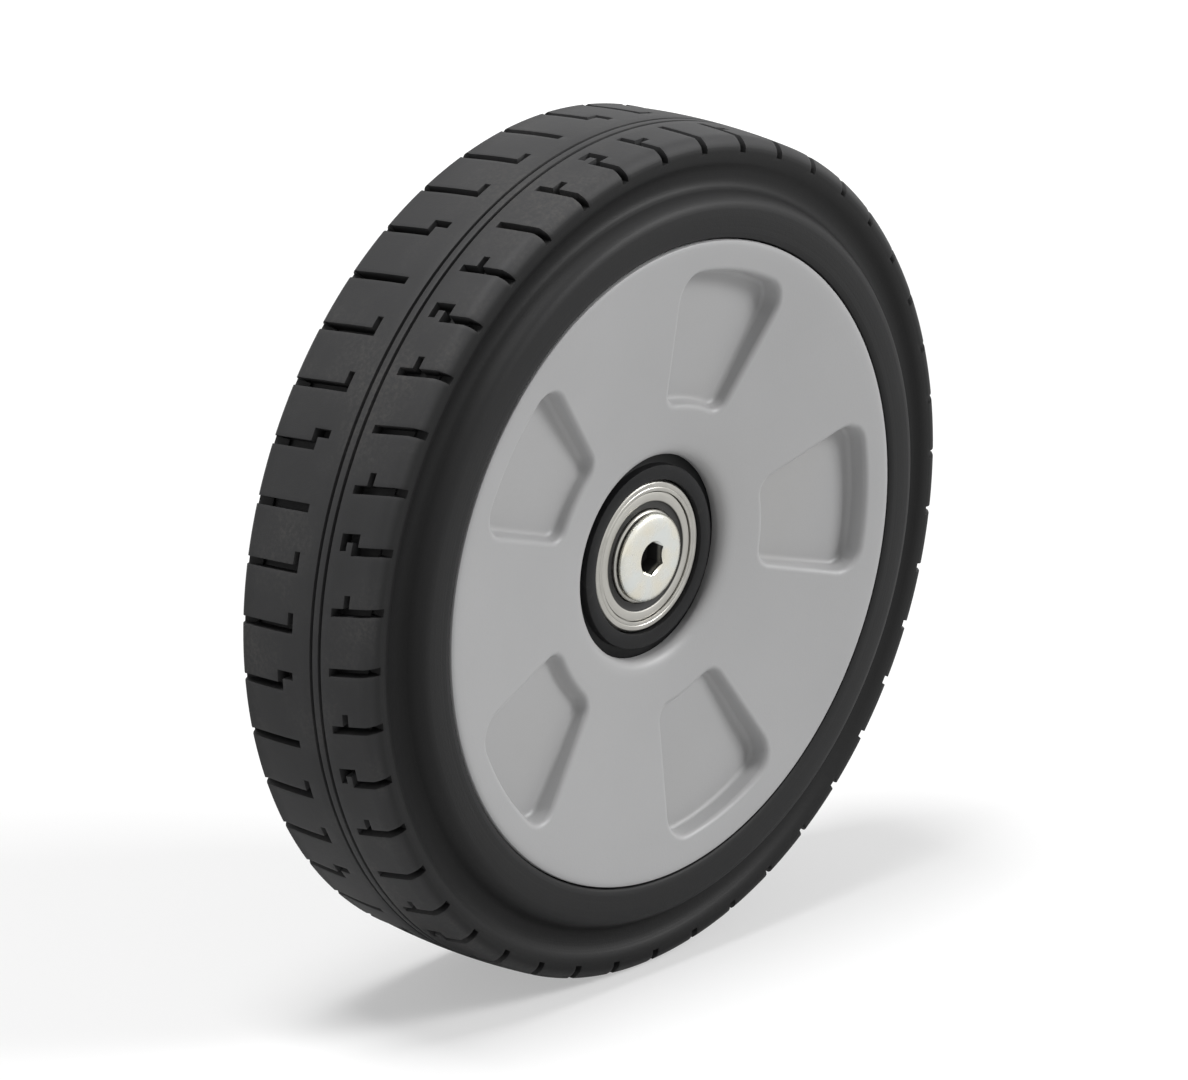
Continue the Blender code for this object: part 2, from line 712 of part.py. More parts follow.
def inner_race_profile(centre):
    """Section of a bearing's inner race."""
    face = BEARING_WIDTH / 2
    return [
        (BEARING_BORE, centre - face),
        (INNER_SHOULDER_RADIUS, centre - face),
        *groove_arc(INNER_SHOULDER_RADIUS, -1, centre),
        (INNER_SHOULDER_RADIUS, centre + face),
        (BEARING_BORE, centre + face),
    ]


def shield_profile(centre, side):
    """Section of a pressed shield; side says which face of the bearing it closes."""
    outer_face = BEARING_WIDTH / 2 - SHIELD_RECESS
    inner_face = outer_face - SHIELD_STEP
    bore = INNER_SHOULDER_RADIUS + FIT_GAP
    points = [
        (SHIELD_RADIUS, outer_face),
        (SHIELD_STEP_RADIUS, outer_face),
        (SHIELD_STEP_RADIUS - SHIELD_THICKNESS, inner_face),
        (bore, inner_face),
        (bore, inner_face - SHIELD_THICKNESS),
        (SHIELD_STEP_RADIUS, inner_face - SHIELD_THICKNESS),
        (SHIELD_STEP_RADIUS + SHIELD_THICKNESS, outer_face - SHIELD_THICKNESS),
        (SHIELD_RADIUS, outer_face - SHIELD_THICKNESS),
    ]
    return [(radius, centre + side * along) for radius, along in points]


def ball_place(index, centre):
    """Centre of one ball on the ball circle."""
    angle = index * math.tau / BALLS
    radius = BALL_CIRCLE_RADIUS
    return Vector((radius * math.cos(angle), centre, radius * math.sin(angle)))


def make_cage(name, centre, side, cutters):
    """One-piece moulded crown cage, open towards one face of the bearing."""
    shield_back = BEARING_WIDTH / 2 - SHIELD_RECESS - SHIELD_STEP - SHIELD_THICKNESS
    closed_side = shield_back - FIT_GAP
    low = BALL_CIRCLE_RADIUS - CAGE_WALL / 2
    high = BALL_CIRCLE_RADIUS + CAGE_WALL / 2
    cage = turned(
        name,
        [
            (low, centre - side * CAGE_OPEN_SIDE),
            (high, centre - side * CAGE_OPEN_SIDE),
            (high, centre + side * closed_side),
            (low, centre + side * closed_side),
        ],
        BEARING_STEPS,
    )
    pockets = bmesh.new()
    sides = 12
    for index in range(BALLS):
        place_matrix = Matrix.Translation(ball_place(index, centre))
        turn = about_axle(index * math.tau / BALLS) @ Matrix.Rotation(math.radians(90.0), 4, "Y")
        bmesh.ops.create_cone(
            pockets,
            cap_ends=True,
            segments=sides,
            radius1=RACE_CLEARANCE / math.cos(math.pi / sides),
            radius2=RACE_CLEARANCE / math.cos(math.pi / sides),
            depth=2 * CAGE_WALL,
            matrix=place_matrix @ turn,
        )
    mesh = bpy.data.meshes.new(name + "_pockets")
    pockets.to_mesh(mesh)
    pockets.free()
    tool = hide_cutter(bpy.data.objects.new(name + "_pockets", mesh))
    cutters.objects.link(tool)
    combine(cage, tool, "DIFFERENCE")
    return cage


def ball_mesh():
    """The mesh that all balls share."""
    shape = bmesh.new()
    bmesh.ops.create_icosphere(shape, subdivisions=2, radius=BALL_RADIUS)
    mesh = bpy.data.meshes.new("bearing_ball")
    shape.to_mesh(mesh)
    shape.free()
    mesh.shade_smooth()
    return mesh


def hex_prism(name, across_flats, low, high):
    """A six-sided prism along the axle line, as a mesh object."""
    shape = bmesh.new()
    radius = across_flats / 2 / math.cos(math.radians(30.0))
    middle = Matrix.Translation((0.0, (low + high) / 2, 0.0))
    bmesh.ops.create_cone(
        shape,
        cap_ends=True,
        segments=6,
        radius1=radius,
        radius2=radius,
        depth=high - low,
        matrix=middle @ Matrix.Rotation(math.radians(90.0), 4, "X"),
    )
    mesh = bpy.data.meshes.new(name)
    shape.to_mesh(mesh)
    shape.free()
    return bpy.data.objects.new(name, mesh)


def make_axle_bolt(cutters):
    """Shouldered axle bolt: low round head with a hex socket, shank and stub."""
    top = HEAD_SEAT - HEAD_THICKNESS
    shank_end = WASHER_FRONT - FIT_GAP
    stub_end = NUT_BACK + STUB_BEYOND_NUT
    bolt = turned(
        "axle_bolt",
        [
            (0.0, top),
            (HEAD_RADIUS - HEAD_CHAMFER, top),
            (HEAD_RADIUS, top + HEAD_CHAMFER),
            (HEAD_RADIUS, HEAD_SEAT),
            (SHANK_RADIUS, HEAD_SEAT),
            (SHANK_RADIUS, shank_end),
            (STUB_RADIUS, shank_end),
            (STUB_RADIUS, stub_end - STUB_CHAMFER),
            (STUB_RADIUS - STUB_CHAMFER, stub_end),
            (0.0, stub_end),
        ],
        AXLE_STEPS,
    )
    socket = hide_cutter(hex_prism("hex_socket", SOCKET_ACROSS_FLATS, 2 * top, top + SOCKET_DEPTH))
    cutters.objects.link(socket)
    combine(bolt, socket, "DIFFERENCE")
    return bolt


def tube(name, bore, radius, low, high, steps):
    """A plain ring or sleeve about the axle line."""
    return turned(name, [(bore, low), (radius, low), (radius, high), (bore, high)], steps)


def make_nut(cutters):
    """Flanged hex nut of the axle stub."""
    nut = hex_prism("axle_nut", NUT_ACROSS_FLATS, NUT_FRONT + NUT_FLANGE_THICKNESS / 2, NUT_BACK)
    bore = STUB_RADIUS + FIT_GAP
    flange = hide_cutter(turned(
        "nut_flange",
        [
            (0.0, NUT_FRONT),
            (NUT_FLANGE_RADIUS, NUT_FRONT),
            (NUT_FLANGE_RADIUS, NUT_FRONT + NUT_FLANGE_THICKNESS),
            (0.0, NUT_FRONT + NUT_FLANGE_THICKNESS),
        ],
        AXLE_STEPS,
    ))
    hole = hide_cutter(turned(
        "nut_bore",
        [
            (0.0, NUT_FRONT - NUT_HEIGHT / 2),
            (bore, NUT_FRONT - NUT_HEIGHT / 2),
            (bore, NUT_BACK + NUT_HEIGHT / 2),
            (0.0, NUT_BACK + NUT_HEIGHT / 2),
        ],
        AXLE_STEPS,
    ))
    for tool in (flange, hole):
        cutters.objects.link(tool)
    combine(nut, flange, "UNION")
    combine(nut, hole, "DIFFERENCE")
    return nut


def make_body(name, collection):
    """An empty at the middle of the axle line that carries one moving body."""
    empty = bpy.data.objects.new(name, None)
    collection.objects.link(empty)
    return empty


def make_materials():
    """Every finish that the pieces use."""
    return {
        "rubber": make_material("tyre_rubber", (0.022, 0.022, 0.022), 0.62, 0.0),
        "black": make_material("rim_black_plastic", (0.018, 0.018, 0.019), 0.45, 0.0),
        "grey": make_material("cover_grey_plastic", (0.36, 0.36, 0.365), 0.42, 0.0),
        "steel": make_material("bearing_steel", (0.55, 0.54, 0.51), 0.3, 1.0),
        "shield": make_material("shield_steel", (0.42, 0.41, 0.39), 0.35, 1.0),
        "cage": make_material("cage_nylon", (0.55, 0.5, 0.38), 0.5, 0.0),
        "zinc": make_material("zinc_plate", (0.72, 0.71, 0.67), 0.28, 1.0),
    }


def build():
    """Make every piece and hang it on the body that it moves with."""
    clear_scene()
    parts = make_collection(COLLECTION_NAME)
    cutters = make_collection("cutters")
    finish = make_materials()
    axle = make_body("axle_body", parts)
    wheel = make_body("wheel_body", parts)
    place(make_tyre(cutters), parts, wheel, finish["rubber"])
    place(make_rim(cutters), parts, wheel, finish["black"])
    place(make_cover(cutters), parts, wheel, finish["grey"])
    balls = ball_mesh()
    balls.materials.append(finish["steel"])
    for name, centre, side in (("outboard", OUTBOARD_BEARING, 1), ("inboard", INBOARD_BEARING, -1)):
        outer = turned("outer_race_" + name, outer_race_profile(centre), BEARING_STEPS)
        place(outer, parts, wheel, finish["steel"])
        inner = turned("inner_race_" + name, inner_race_profile(centre), BEARING_STEPS)
        place(inner, parts, axle, finish["steel"])
        for place_name, face in (("front", -1), ("back", 1)):
            profile = shield_profile(centre, face)
            shield = turned("shield_{}_{}".format(name, place_name), profile, BEARING_STEPS)
            place(shield, parts, wheel, finish["shield"])
        ball_body = make_body("ball_set_" + name, parts)
        cage = make_cage("cage_" + name, centre, side, cutters)
        place(cage, parts, ball_body, finish["cage"])
        for index in range(BALLS):
            ball = bpy.data.objects.new("ball_{}_{}".format(name, index + 1), balls)
            ball.location = ball_place(index, centre)
            place(ball, parts, ball_body)
    place(make_axle_bolt(cutters), parts, axle, finish["zinc"])
    spacer_bore = SHANK_RADIUS + FIT_GAP
    spacer = tube(
        "bearing_spacer",
        spacer_bore,
        spacer_bore + SPACER_WALL,
        OUTBOARD_BEARING + BEARING_WIDTH / 2 + FIT_GAP,
        INBOARD_BEARING - BEARING_WIDTH / 2 - FIT_GAP,
        BEARING_STEPS,
    )
    place(spacer, parts, axle, finish["steel"])
    washer = tube(
        "axle_washer",
        STUB_RADIUS + FIT_GAP,
        WASHER_RADIUS,
        WASHER_FRONT,
        WASHER_BACK,
        AXLE_STEPS,
    )
    place(washer, parts, axle, finish["zinc"])
    place(make_nut(cutters), parts, axle, finish["zinc"])


build()
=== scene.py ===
import math

import bmesh
import bpy
from mathutils import Matrix, Quaternion, Vector


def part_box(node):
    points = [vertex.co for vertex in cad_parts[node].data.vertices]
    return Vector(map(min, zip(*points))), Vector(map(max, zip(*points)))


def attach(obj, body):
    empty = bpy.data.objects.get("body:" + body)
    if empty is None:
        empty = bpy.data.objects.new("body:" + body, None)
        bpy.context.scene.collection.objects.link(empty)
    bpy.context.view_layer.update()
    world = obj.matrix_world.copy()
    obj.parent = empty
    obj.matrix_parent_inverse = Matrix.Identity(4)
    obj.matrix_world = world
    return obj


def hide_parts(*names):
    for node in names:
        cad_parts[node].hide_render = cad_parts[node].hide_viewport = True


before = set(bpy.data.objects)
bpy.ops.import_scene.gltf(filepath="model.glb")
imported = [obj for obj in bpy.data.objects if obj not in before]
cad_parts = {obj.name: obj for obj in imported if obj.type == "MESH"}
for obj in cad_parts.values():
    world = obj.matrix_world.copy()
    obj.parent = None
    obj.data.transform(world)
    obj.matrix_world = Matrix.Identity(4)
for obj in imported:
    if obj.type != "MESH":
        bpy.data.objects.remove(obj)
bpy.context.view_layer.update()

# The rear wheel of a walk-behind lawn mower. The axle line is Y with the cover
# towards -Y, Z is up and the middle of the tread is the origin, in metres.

bl_info = {
    "name": "Mower Rear Wheel",
    "version": (1, 0, 0),
    "blender": (4, 5, 0),
    "location": "View3D > Sidebar > Mower Wheel",
    "description": "Models the tyre, cover, rim, bearings and axle of a mower's rear wheel",
    "category": "Object",
}

MM = 0.001
AXLE = (0.0, 1.0, 0.0)
CENTRE = (0.0, 0.0, 0.0)
WHITE = (1.0, 1.0, 1.0, 1.0)

# Steps of a full turn on the small round pieces
ROUND_STEPS = 96

# Places that the CAD model fixes
TYRE_LOW, TYRE_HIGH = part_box("tyre")
COVER_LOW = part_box("wheel_cover")[0]
RACE_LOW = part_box("outer_race_outboard")[0]
BOLT_LOW, BOLT_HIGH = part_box("axle_bolt")
WASHER_LOW, WASHER_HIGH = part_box("axle_washer")
NUT_LOW, NUT_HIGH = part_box("axle_nut")
COVER_FACE = COVER_LOW.y


# ---------------------------------------------------------------- finishes


class Reading:
    """A value in a finish that can be used in plain arithmetic."""

    def __init__(self, finish, socket):
        self.finish = finish
        self.socket = socket

    def worked(self, operation, *values):
        """The result of one Math node."""
        made = self.finish.node("ShaderNodeMath", {"operation": operation}, dict(enumerate(values)))
        return Reading(self.finish, made.outputs[0])

    def __add__(self, other):
        return self.worked("ADD", self, other)

    def __radd__(self, other):
        return self.worked("ADD", other, self)

    def __sub__(self, other):
        return self.worked("SUBTRACT", self, other)

    def __rsub__(self, other):
        return self.worked("SUBTRACT", other, self)

    def __mul__(self, other):
        return self.worked("MULTIPLY", self, other)

    def root(self):
        """The square root of the value."""
        return self.worked("SQRT", self)

    def fade(self, start, end):
        """0 up to the start, 1 from the end, and a soft slope between."""
        sockets = {"Value": self, "From Min": start, "From Max": end}
        settings = {"interpolation_type": "SMOOTHSTEP"}
        made = self.finish.node("ShaderNodeMapRange", settings, sockets)
        return Reading(self.finish, made.outputs["Result"])


class Finish:
    """The shader of one finish, built up from readings of the piece's own place."""

    def __init__(self, name, colour, roughness, metallic=0.0, shine=0.5):
        self.material = bpy.data.materials.new(name)
        self.material.use_nodes = True
        self.tree = self.material.node_tree
        self.shader = self.tree.nodes["Principled BSDF"]
        self.material.diffuse_color = (*colour, 1.0)
        for name, value in (
            ("Base Color", (*colour, 1.0)),
            ("Roughness", roughness),
            ("Metallic", metallic),
            ("Specular IOR Level", shine),
        ):
            self.shader.inputs[name].default_value = value
        self.place = Reading(self, self.node("ShaderNodeTexCoord").outputs["Object"])
        parts = self.node("ShaderNodeSeparateXYZ", {}, {"Vector": self.place})
        self.right, self.along, up = (Reading(self, parts.outputs[axis]) for axis in "XYZ")
        self.radius = (self.right * self.right + up * up).root()
        self.relief = None

    def node(self, kind, settings=None, sockets=None):
        """Add a node: its settings first, then the values or links of its sockets."""
        made = self.tree.nodes.new(kind)
        for key, value in (settings or {}).items():
            setattr(made, key, value)
        for key, value in (sockets or {}).items():
            if isinstance(value, Reading):
                self.tree.links.new(value.socket, made.inputs[key])
            else:
                made.inputs[key].default_value = value
        return made

    def grain(self, scale, detail=2.0, roughness=0.5):
        """Even noise between 0 and 1, at so many cells to the metre."""
        sockets = {"Vector": self.place, "Scale": scale, "Detail": detail, "Roughness": roughness}
        made = self.node("ShaderNodeTexNoise", {}, sockets)
        return Reading(self, made.outputs["Fac"])

    def rings(self, scale, detail=2.0):
        """Noise that changes with the radius only, as tool marks on a lathe do."""
        sockets = {"W": self.radius, "Scale": scale, "Detail": detail}
        made = self.node("ShaderNodeTexNoise", {"noise_dimensions": "1D"}, sockets)
        return Reading(self, made.outputs["Fac"])

    def mixed(self, first, second, share):
        """One colour going over into another."""
        sockets = {0: share}
        for socket, colour in ((6, first), (7, second)):
            sockets[socket] = colour if isinstance(colour, Reading) else (*colour, 1.0)
        made = self.node("ShaderNodeMix", {"data_type": "RGBA"}, sockets)
        return Reading(self, made.outputs[2])

    def raise_by(self, height, distance, strength=1.0):
        """Add relief to the surface, in metres at a height of 1."""
        sockets = {"Height": height, "Distance": distance, "Strength": strength}
        if self.relief:
            sockets["Normal"] = self.relief
        made = self.node("ShaderNodeBump", {}, sockets)
        self.relief = Reading(self, made.outputs["Normal"])

    def feed(self, **readings):
        """Link readings to the shader, such as Base_Color or Roughness."""
        for name, reading in readings.items():
            self.tree.links.new(reading.socket, self.shader.inputs[name.replace("_", " ")])
        if self.relief:
            self.tree.links.new(self.relief.socket, self.shader.inputs["Normal"])
        return self.material


def times(colour, factor):
    """A colour made darker or lighter, at most white."""
    return tuple(min(1.0, channel * factor) for channel in colour)


def rubber_finish(sizes):
    """Moulded black rubber: fine grain, dull sidewall with painted shade in its valley, dusty tread
    blocks.
    """
    colour = tuple(sizes.rubber_colour)
    finish = Finish("tyre_rubber_finish", colour, 0.6, 0.0, 0.22)
    # The tread's blocks, the groove floors with the sidewalls, and the sidewall's valley, where
    # shade is painted
    tread = finish.radius.fade(107.5 * MM, 109.5 * MM)
    deep = 1.0 - finish.radius.fade(106.6 * MM, 108.2 * MM)
    valley_shade = finish.along.fade(-24.8 * MM, -22.0 * MM) * finish.along.fade(-18.0 * MM, -20.0 * MM)
    cloud = finish.grain(38.0, 4.0, 0.55)
    speck = finish.grain(900.0, 3.0, 0.6)
    dust = tread * cloud.fade(0.42, 0.72) * speck.fade(0.35, 0.8) * sizes.dust
    # Painted shade: the sidewall's valley is coloured at 0.45 of the rubber, below the groove foot
    side = finish.mixed(colour, times(colour, 0.45), valley_shade * deep)
    worn = finish.mixed(side, times(colour, 3.6), tread * (0.45 + cloud * 0.8))
    dusty = finish.mixed(worn, tuple(sizes.dust_colour), dust)
    rough = 0.52 + cloud * 0.12 + dust * 0.3 - deep * 0.06
    finish.raise_by(finish.grain(2600.0, 2.0), 0.05 * MM, 0.7)
    finish.raise_by(finish.grain(420.0, 3.0), 0.06 * MM, 0.5)
    finish.raise_by(finish.rings(1500.0, 1.0) * (1.0 - tread), 0.04 * MM, 0.6)
    return finish.feed(Base_Color=dusty, Roughness=rough)


def cover_finish(sizes):
    """Light grey moulded plastic with a spark-eroded grain, and faint dust with painted shade
    deeper in the face.
    """
    colour = tuple(sizes.plastic_colour)
    finish = Finish("cover_grey_finish", colour, 0.45)
    cloud = finish.grain(26.0, 3.0, 0.5)
    fleck = finish.grain(1400.0, 2.0, 0.6)
    # Dust and painted shade: a darker colour the deeper along the axle, towards the hub and the
    # pockets' floors
    depth = finish.along.fade(COVER_FACE + 3.0 * MM, COVER_FACE + 8.6 * MM)
    dust = depth * cloud.fade(0.3, 0.8) * 0.28
    tone = finish.mixed(times(colour, 0.93), times(colour, 1.04), cloud)
    speckled = finish.mixed(tone, times(colour, 0.9), fleck.fade(0.55, 0.8) * 0.3)
    dusty = finish.mixed(speckled, tuple(sizes.dust_colour), dust)
    rub = finish.grain(90.0, 4.0, 0.7).fade(0.5, 0.72)
    finish.raise_by(finish.grain(2300.0, 2.0, 0.6), 0.035 * MM, 0.8)
    finish.raise_by(finish.grain(60.0, 1.0), 0.12 * MM, 0.35)
    return finish.feed(Base_Color=dusty, Roughness=0.4 + rub * 0.1 + fleck * 0.06 + dust * 0.4)


def rim_finish(sizes):
    """Black moulded plastic with flow marks and a low sheen."""
    colour = tuple(sizes.plastic_colour)
    finish = Finish("rim_black_finish", colour, 0.42, 0.0, 0.15)
    cloud = finish.grain(32.0, 4.0, 0.6)
    fleck = finish.grain(1100.0, 2.0)
    tone = finish.mixed(colour, times(colour, 1.8), cloud.fade(0.3, 0.8) * 0.6)
    dust = finish.grain(240.0, 5.0, 0.7).fade(0.56, 0.78) * 0.22
    dusty = finish.mixed(tone, tuple(sizes.dust_colour), dust)
    finish.raise_by(finish.grain(1900.0, 2.0), 0.04 * MM, 0.7)
    return finish.feed(Base_Color=dusty, Roughness=0.36 + cloud * 0.14 + fleck * 0.05 + dust * 0.5)


def turned_steel_finish(name, colour, roughness, mark_depth):
    """Steel with the fine rings that a lathe or a grinding wheel leaves."""
    finish = Finish(name, colour, roughness, 1.0)
    marks = finish.rings(5200.0, 3.0)
    cloud = finish.grain(120.0, 4.0, 0.6)
    tone = finish.mixed(times(colour, 0.8), colour, cloud.fade(0.25, 0.7))
    finish.raise_by(marks, mark_depth, 0.8)
    finish.raise_by(finish.grain(1500.0, 2.0), 0.01 * MM, 0.5)
    return finish.feed(Base_Color=tone, Roughness=roughness + cloud * 0.12 + marks * 0.08)


def shield_finish(sizes):
    """A pressed shield: bright rim, and a near-black, non-metal colour inside its step."""
    steel = tuple(sizes.steel_colour)
    finish = Finish("shield_steel_finish", steel, 0.34)
    # The bright rim starts at the shield's step
    rim = finish.radius.fade(14.45 * MM, 14.75 * MM)
    cloud = finish.grain(150.0, 4.0, 0.6)
    pale = finish.mixed(steel, tuple(sizes.shield_colour), cloud.fade(0.3, 0.9) * 0.5)
    dark = finish.mixed((0.012, 0.012, 0.012), (0.03, 0.029, 0.027), cloud)
    finish.raise_by(finish.rings(5200.0, 3.0), 0.012 * MM, 0.8)
    return finish.feed(
        Base_Color=finish.mixed(dark, pale, rim),
        Metallic=rim,
        Roughness=0.5 - rim * 0.16 + cloud * 0.1,
    )


def zinc_finish(sizes):
    """Bright zinc plate with a faint warm and cool cast, and painted shade in the hex socket."""
    colour = tuple(sizes.zinc_colour)
    finish = Finish("zinc_plate_finish", colour, 0.24, 1.0)
    cast = finish.grain(150.0, 2.0, 0.5)
    warm = (colour[0], colour[1] * 0.97, colour[2] * 0.88)
    cool = (colour[0] * 0.94, colour[1] * 0.98, colour[2])
    tone = finish.mixed(warm, cool, cast.fade(0.3, 0.7))
    spots = finish.grain(700.0, 3.0, 0.6).fade(0.6, 0.8)
    dull = finish.mixed(tone, (0.42, 0.41, 0.38), spots * 0.3)
    # Painted shade: the hex socket is coloured black and non-metal inside, down to its foot
    inside = finish.along.fade(BOLT_LOW.y + 0.5 * MM, BOLT_LOW.y + 2.4 * MM)
    inside = inside * (1.0 - finish.radius.fade(4.7 * MM, 5.1 * MM))
    inside = inside * (1.0 - finish.along.fade(BOLT_LOW.y + 8.0 * MM, BOLT_LOW.y + 9.0 * MM))
    socket_shade_colour = finish.mixed(dull, (0.008, 0.008, 0.008), inside)
    finish.raise_by(finish.grain(1300.0, 3.0), 0.012 * MM, 0.7)
    return finish.feed(
        Base_Color=socket_shade_colour,
        Metallic=1.0 - inside,
        Roughness=0.22 + cast * 0.1 + spots * 0.2 + inside * 0.4,
    )


def cage_finish():
    """Natural nylon with a warm tint and a faint grain."""
    finish = Finish("cage_nylon_finish", (0.55, 0.5, 0.38), 0.45)
    cloud = finish.grain(300.0, 3.0)
    tone = finish.mixed((0.5, 0.45, 0.33), (0.6, 0.55, 0.43), cloud)
    finish.raise_by(finish.grain(2000.0, 2.0), 0.02 * MM, 0.6)
    return finish.feed(Base_Color=tone, Roughness=0.38 + cloud * 0.14)


# --------------------------------------------------------------- modelling


def let_go():
    """Leave edit mode and select nothing."""
    if bpy.context.mode != "OBJECT":
        bpy.ops.object.mode_set(mode="OBJECT")
    bpy.ops.object.select_all(action="DESELECT")


def take(*pieces):
    """Select pieces in object mode; the first is the active one."""
    let_go()
    for piece in pieces:
        piece.select_set(True)
    bpy.context.view_layer.objects.active = pieces[0]


def begin(name, add, **settings):
    """Add a primitive with its place in its mesh and go into edit mode."""
    let_go()
    add(**settings)
    piece = bpy.context.object
    piece.name = name
    piece.data.name = name
    bpy.ops.object.transform_apply(location=True, rotation=True, scale=True)
    bpy.ops.object.mode_set(mode="EDIT")
    return piece


def choose(piece, kind, test):
    """Select the corners, edges or faces that pass a test, in edit mode."""
    bpy.ops.mesh.select_mode(type=kind)
    bpy.ops.mesh.select_all(action="DESELECT")
    shape = bmesh.from_edit_mesh(piece.data)
    shape.verts.index_update()
    items = {"VERT": shape.verts, "EDGE": shape.edges, "FACE": shape.faces}[kind]
    for item in items:
        if test(item):
            item.select_set(True)
    bmesh.update_edit_mesh(piece.data)


def draw(name, points, closed):
    """Draw an outline corner by corner, as (x, y, z) points."""
    path = [Vector(point) for point in points]
    piece = begin(name, bpy.ops.mesh.primitive_plane_add, size=MM)
    choose(piece, "VERT", lambda corner: corner.index > 0)
    bpy.ops.mesh.delete(type="VERT")
    bpy.ops.mesh.select_all(action="SELECT")
    pen = bmesh.from_edit_mesh(piece.data).verts[:][0].co.copy()
    bpy.ops.transform.translate(value=path[0] - pen)
    for here, there in zip(path, path[1:]):
        bpy.ops.mesh.extrude_vertices_move(TRANSFORM_OT_translate={"value": there - here})
    if closed:
        last = len(path) - 1
        choose(piece, "VERT", lambda corner: corner.index in (0, last))
        bpy.ops.mesh.edge_face_add()
    bpy.ops.mesh.select_all(action="SELECT")
    return piece


def close_up():
    """Merge doubled corners and point the faces outwards."""
    bpy.ops.mesh.select_all(action="SELECT")
    bpy.ops.mesh.remove_doubles(threshold=0.002 * MM)
    bpy.ops.mesh.dissolve_degenerate(threshold=0.001 * MM)
    bpy.ops.mesh.select_all(action="SELECT")
    bpy.ops.mesh.normals_make_consistent(inside=False)


def put_in_order():
    """Select all and number it by its distance from a lopsided place, the same each run."""
    bpy.ops.mesh.select_all(action="SELECT")
    bpy.context.scene.cursor.location = (0.137, -0.211, 0.173)
    bpy.ops.mesh.sort_elements(type="CURSOR_DISTANCE", elements={"VERT", "EDGE", "FACE"})
    bpy.context.scene.cursor.location = CENTRE


def in_metres(points, base=0.0):
    """Points of radius and place along the axle, out of millimetres, from a base."""
    return [(radius * MM, base + along * MM) for radius, along in points]


def turned(name, outline, steps, closed=True):
    """Spin an outline of (radius, along) points about the axle line."""
    piece = draw(name, [(radius, along, 0.0) for radius, along in outline], closed)
    bpy.ops.mesh.spin(steps=steps, angle=math.tau, center=CENTRE, axis=AXLE)
    close_up()
    return piece


def extrude(*move):
    """Extrude what is selected along a straight line."""
    bpy.ops.mesh.extrude_region_move(TRANSFORM_OT_translate={"value": move})


def bar(name, points, move):
    """A straight solid: a drawn outline, filled and extruded."""
    piece = draw(name, points, True)
    bpy.ops.mesh.edge_face_add()
    extrude(*move)
    close_up()
    return piece


def repeat_round(count):
    """Copy what is being edited at even angles round the axle line."""
    bpy.ops.mesh.select_all(action="SELECT")
    bpy.ops.mesh.spin(
        steps=count - 1,
        dupli=True,
        angle=math.tau * (count - 1) / count,
        center=CENTRE,
        axis=AXLE,
    )
    bpy.ops.mesh.select_all(action="SELECT")


def apply_modifier(piece, kind, **settings):
    """Add one modifier with its settings and apply it."""
    take(piece)
    step = piece.modifiers.new(kind.lower(), kind)
    for key, value in settings.items():
        setattr(step, key, value)
    bpy.ops.object.modifier_apply(modifier=step.name)


def combine(piece, tool, operation):
    """Cut, join or trim a piece with a tool and throw the tool away."""
    apply_modifier(piece, "BOOLEAN", object=tool, operation=operation, solver="EXACT")
    bpy.data.objects.remove(tool, do_unlink=True)


def soften(piece, width, segments=2, angle=30.0):
    """Round the sharp edges of a piece."""
    apply_modifier(
        piece,
        "BEVEL",
        width=width,
        segments=segments,
        limit_method="ANGLE",
        angle_limit=math.radians(angle),
        use_clamp_overlap=True,
    )


def paint(piece, material):
    """Give a piece one finish."""
    piece.data.materials.clear()
    piece.data.materials.append(material)


def finish_piece(piece, material, body, replaced, smooth=35.0):
    """Shade a piece, give it its finish and tie it to the CAD model."""
    take(piece)
    bpy.ops.object.shade_smooth_by_angle(angle=math.radians(smooth))
    paint(piece, material)
    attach(piece, body)
    for node in replaced:
        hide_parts(node)
    let_go()


def polar(point):
    """Radius and angle of a place, seen from outboard, right to up."""
    return math.hypot(point.x, point.z), math.atan2(point.z, point.x)


def from_nearest(angle, count):
    """Angle from the nearest of so many even directions."""
    pitch = math.tau / count
    return (angle + pitch / 2) % pitch - pitch / 2


# ------------------------------------------------------------------- sizes


def length_size(name, description, default):
    """A length in metres that the panel shows."""
    return bpy.props.FloatProperty(
        name=name, description=description, default=default, unit="LENGTH"
    )


def angle_size(name, description, degrees):
    """An angle that the panel shows."""
    return bpy.props.FloatProperty(
        name=name, description=description, default=math.radians(degrees), subtype="ANGLE"
    )


def whole_number(name, description, default, least):
    """A count that the panel shows."""
    return bpy.props.IntProperty(name=name, description=description, default=default, min=least)


def colour_choice(name, description, default):
    """A colour that the panel shows."""
    return bpy.props.FloatVectorProperty(
        name=name, description=description, default=default, subtype="COLOR"
    )


class TyreSizes(bpy.types.PropertyGroup):
    """Sizes and colours of the rubber tyre."""

    pitches: whole_number("Tread pitches", "Blocks in one row round the tyre", 44, 8)
    groove_depth: length_size(
        "Groove depth", "Depth of the grooves between the tread blocks", 4.0 * MM
    )
    centre_depth: length_size(
        "Centre groove depth", "Depth of the groove that runs round the tread", 1.5 * MM
    )
    edge: length_size("Edge rounding", "Rounding of the edges of the tread blocks", 0.45 * MM)
    rubber_colour: colour_choice("Rubber", "Colour of the clean rubber", (0.0125, 0.0125, 0.0128))
    dust_colour: colour_choice("Dust", "Colour of the dust on the tread", (0.17, 0.16, 0.145))
    dust: bpy.props.FloatProperty(
        name="Dust amount",
        description="How much dust lies on the tread blocks",
        default=0.25,
        subtype="FACTOR",
    )


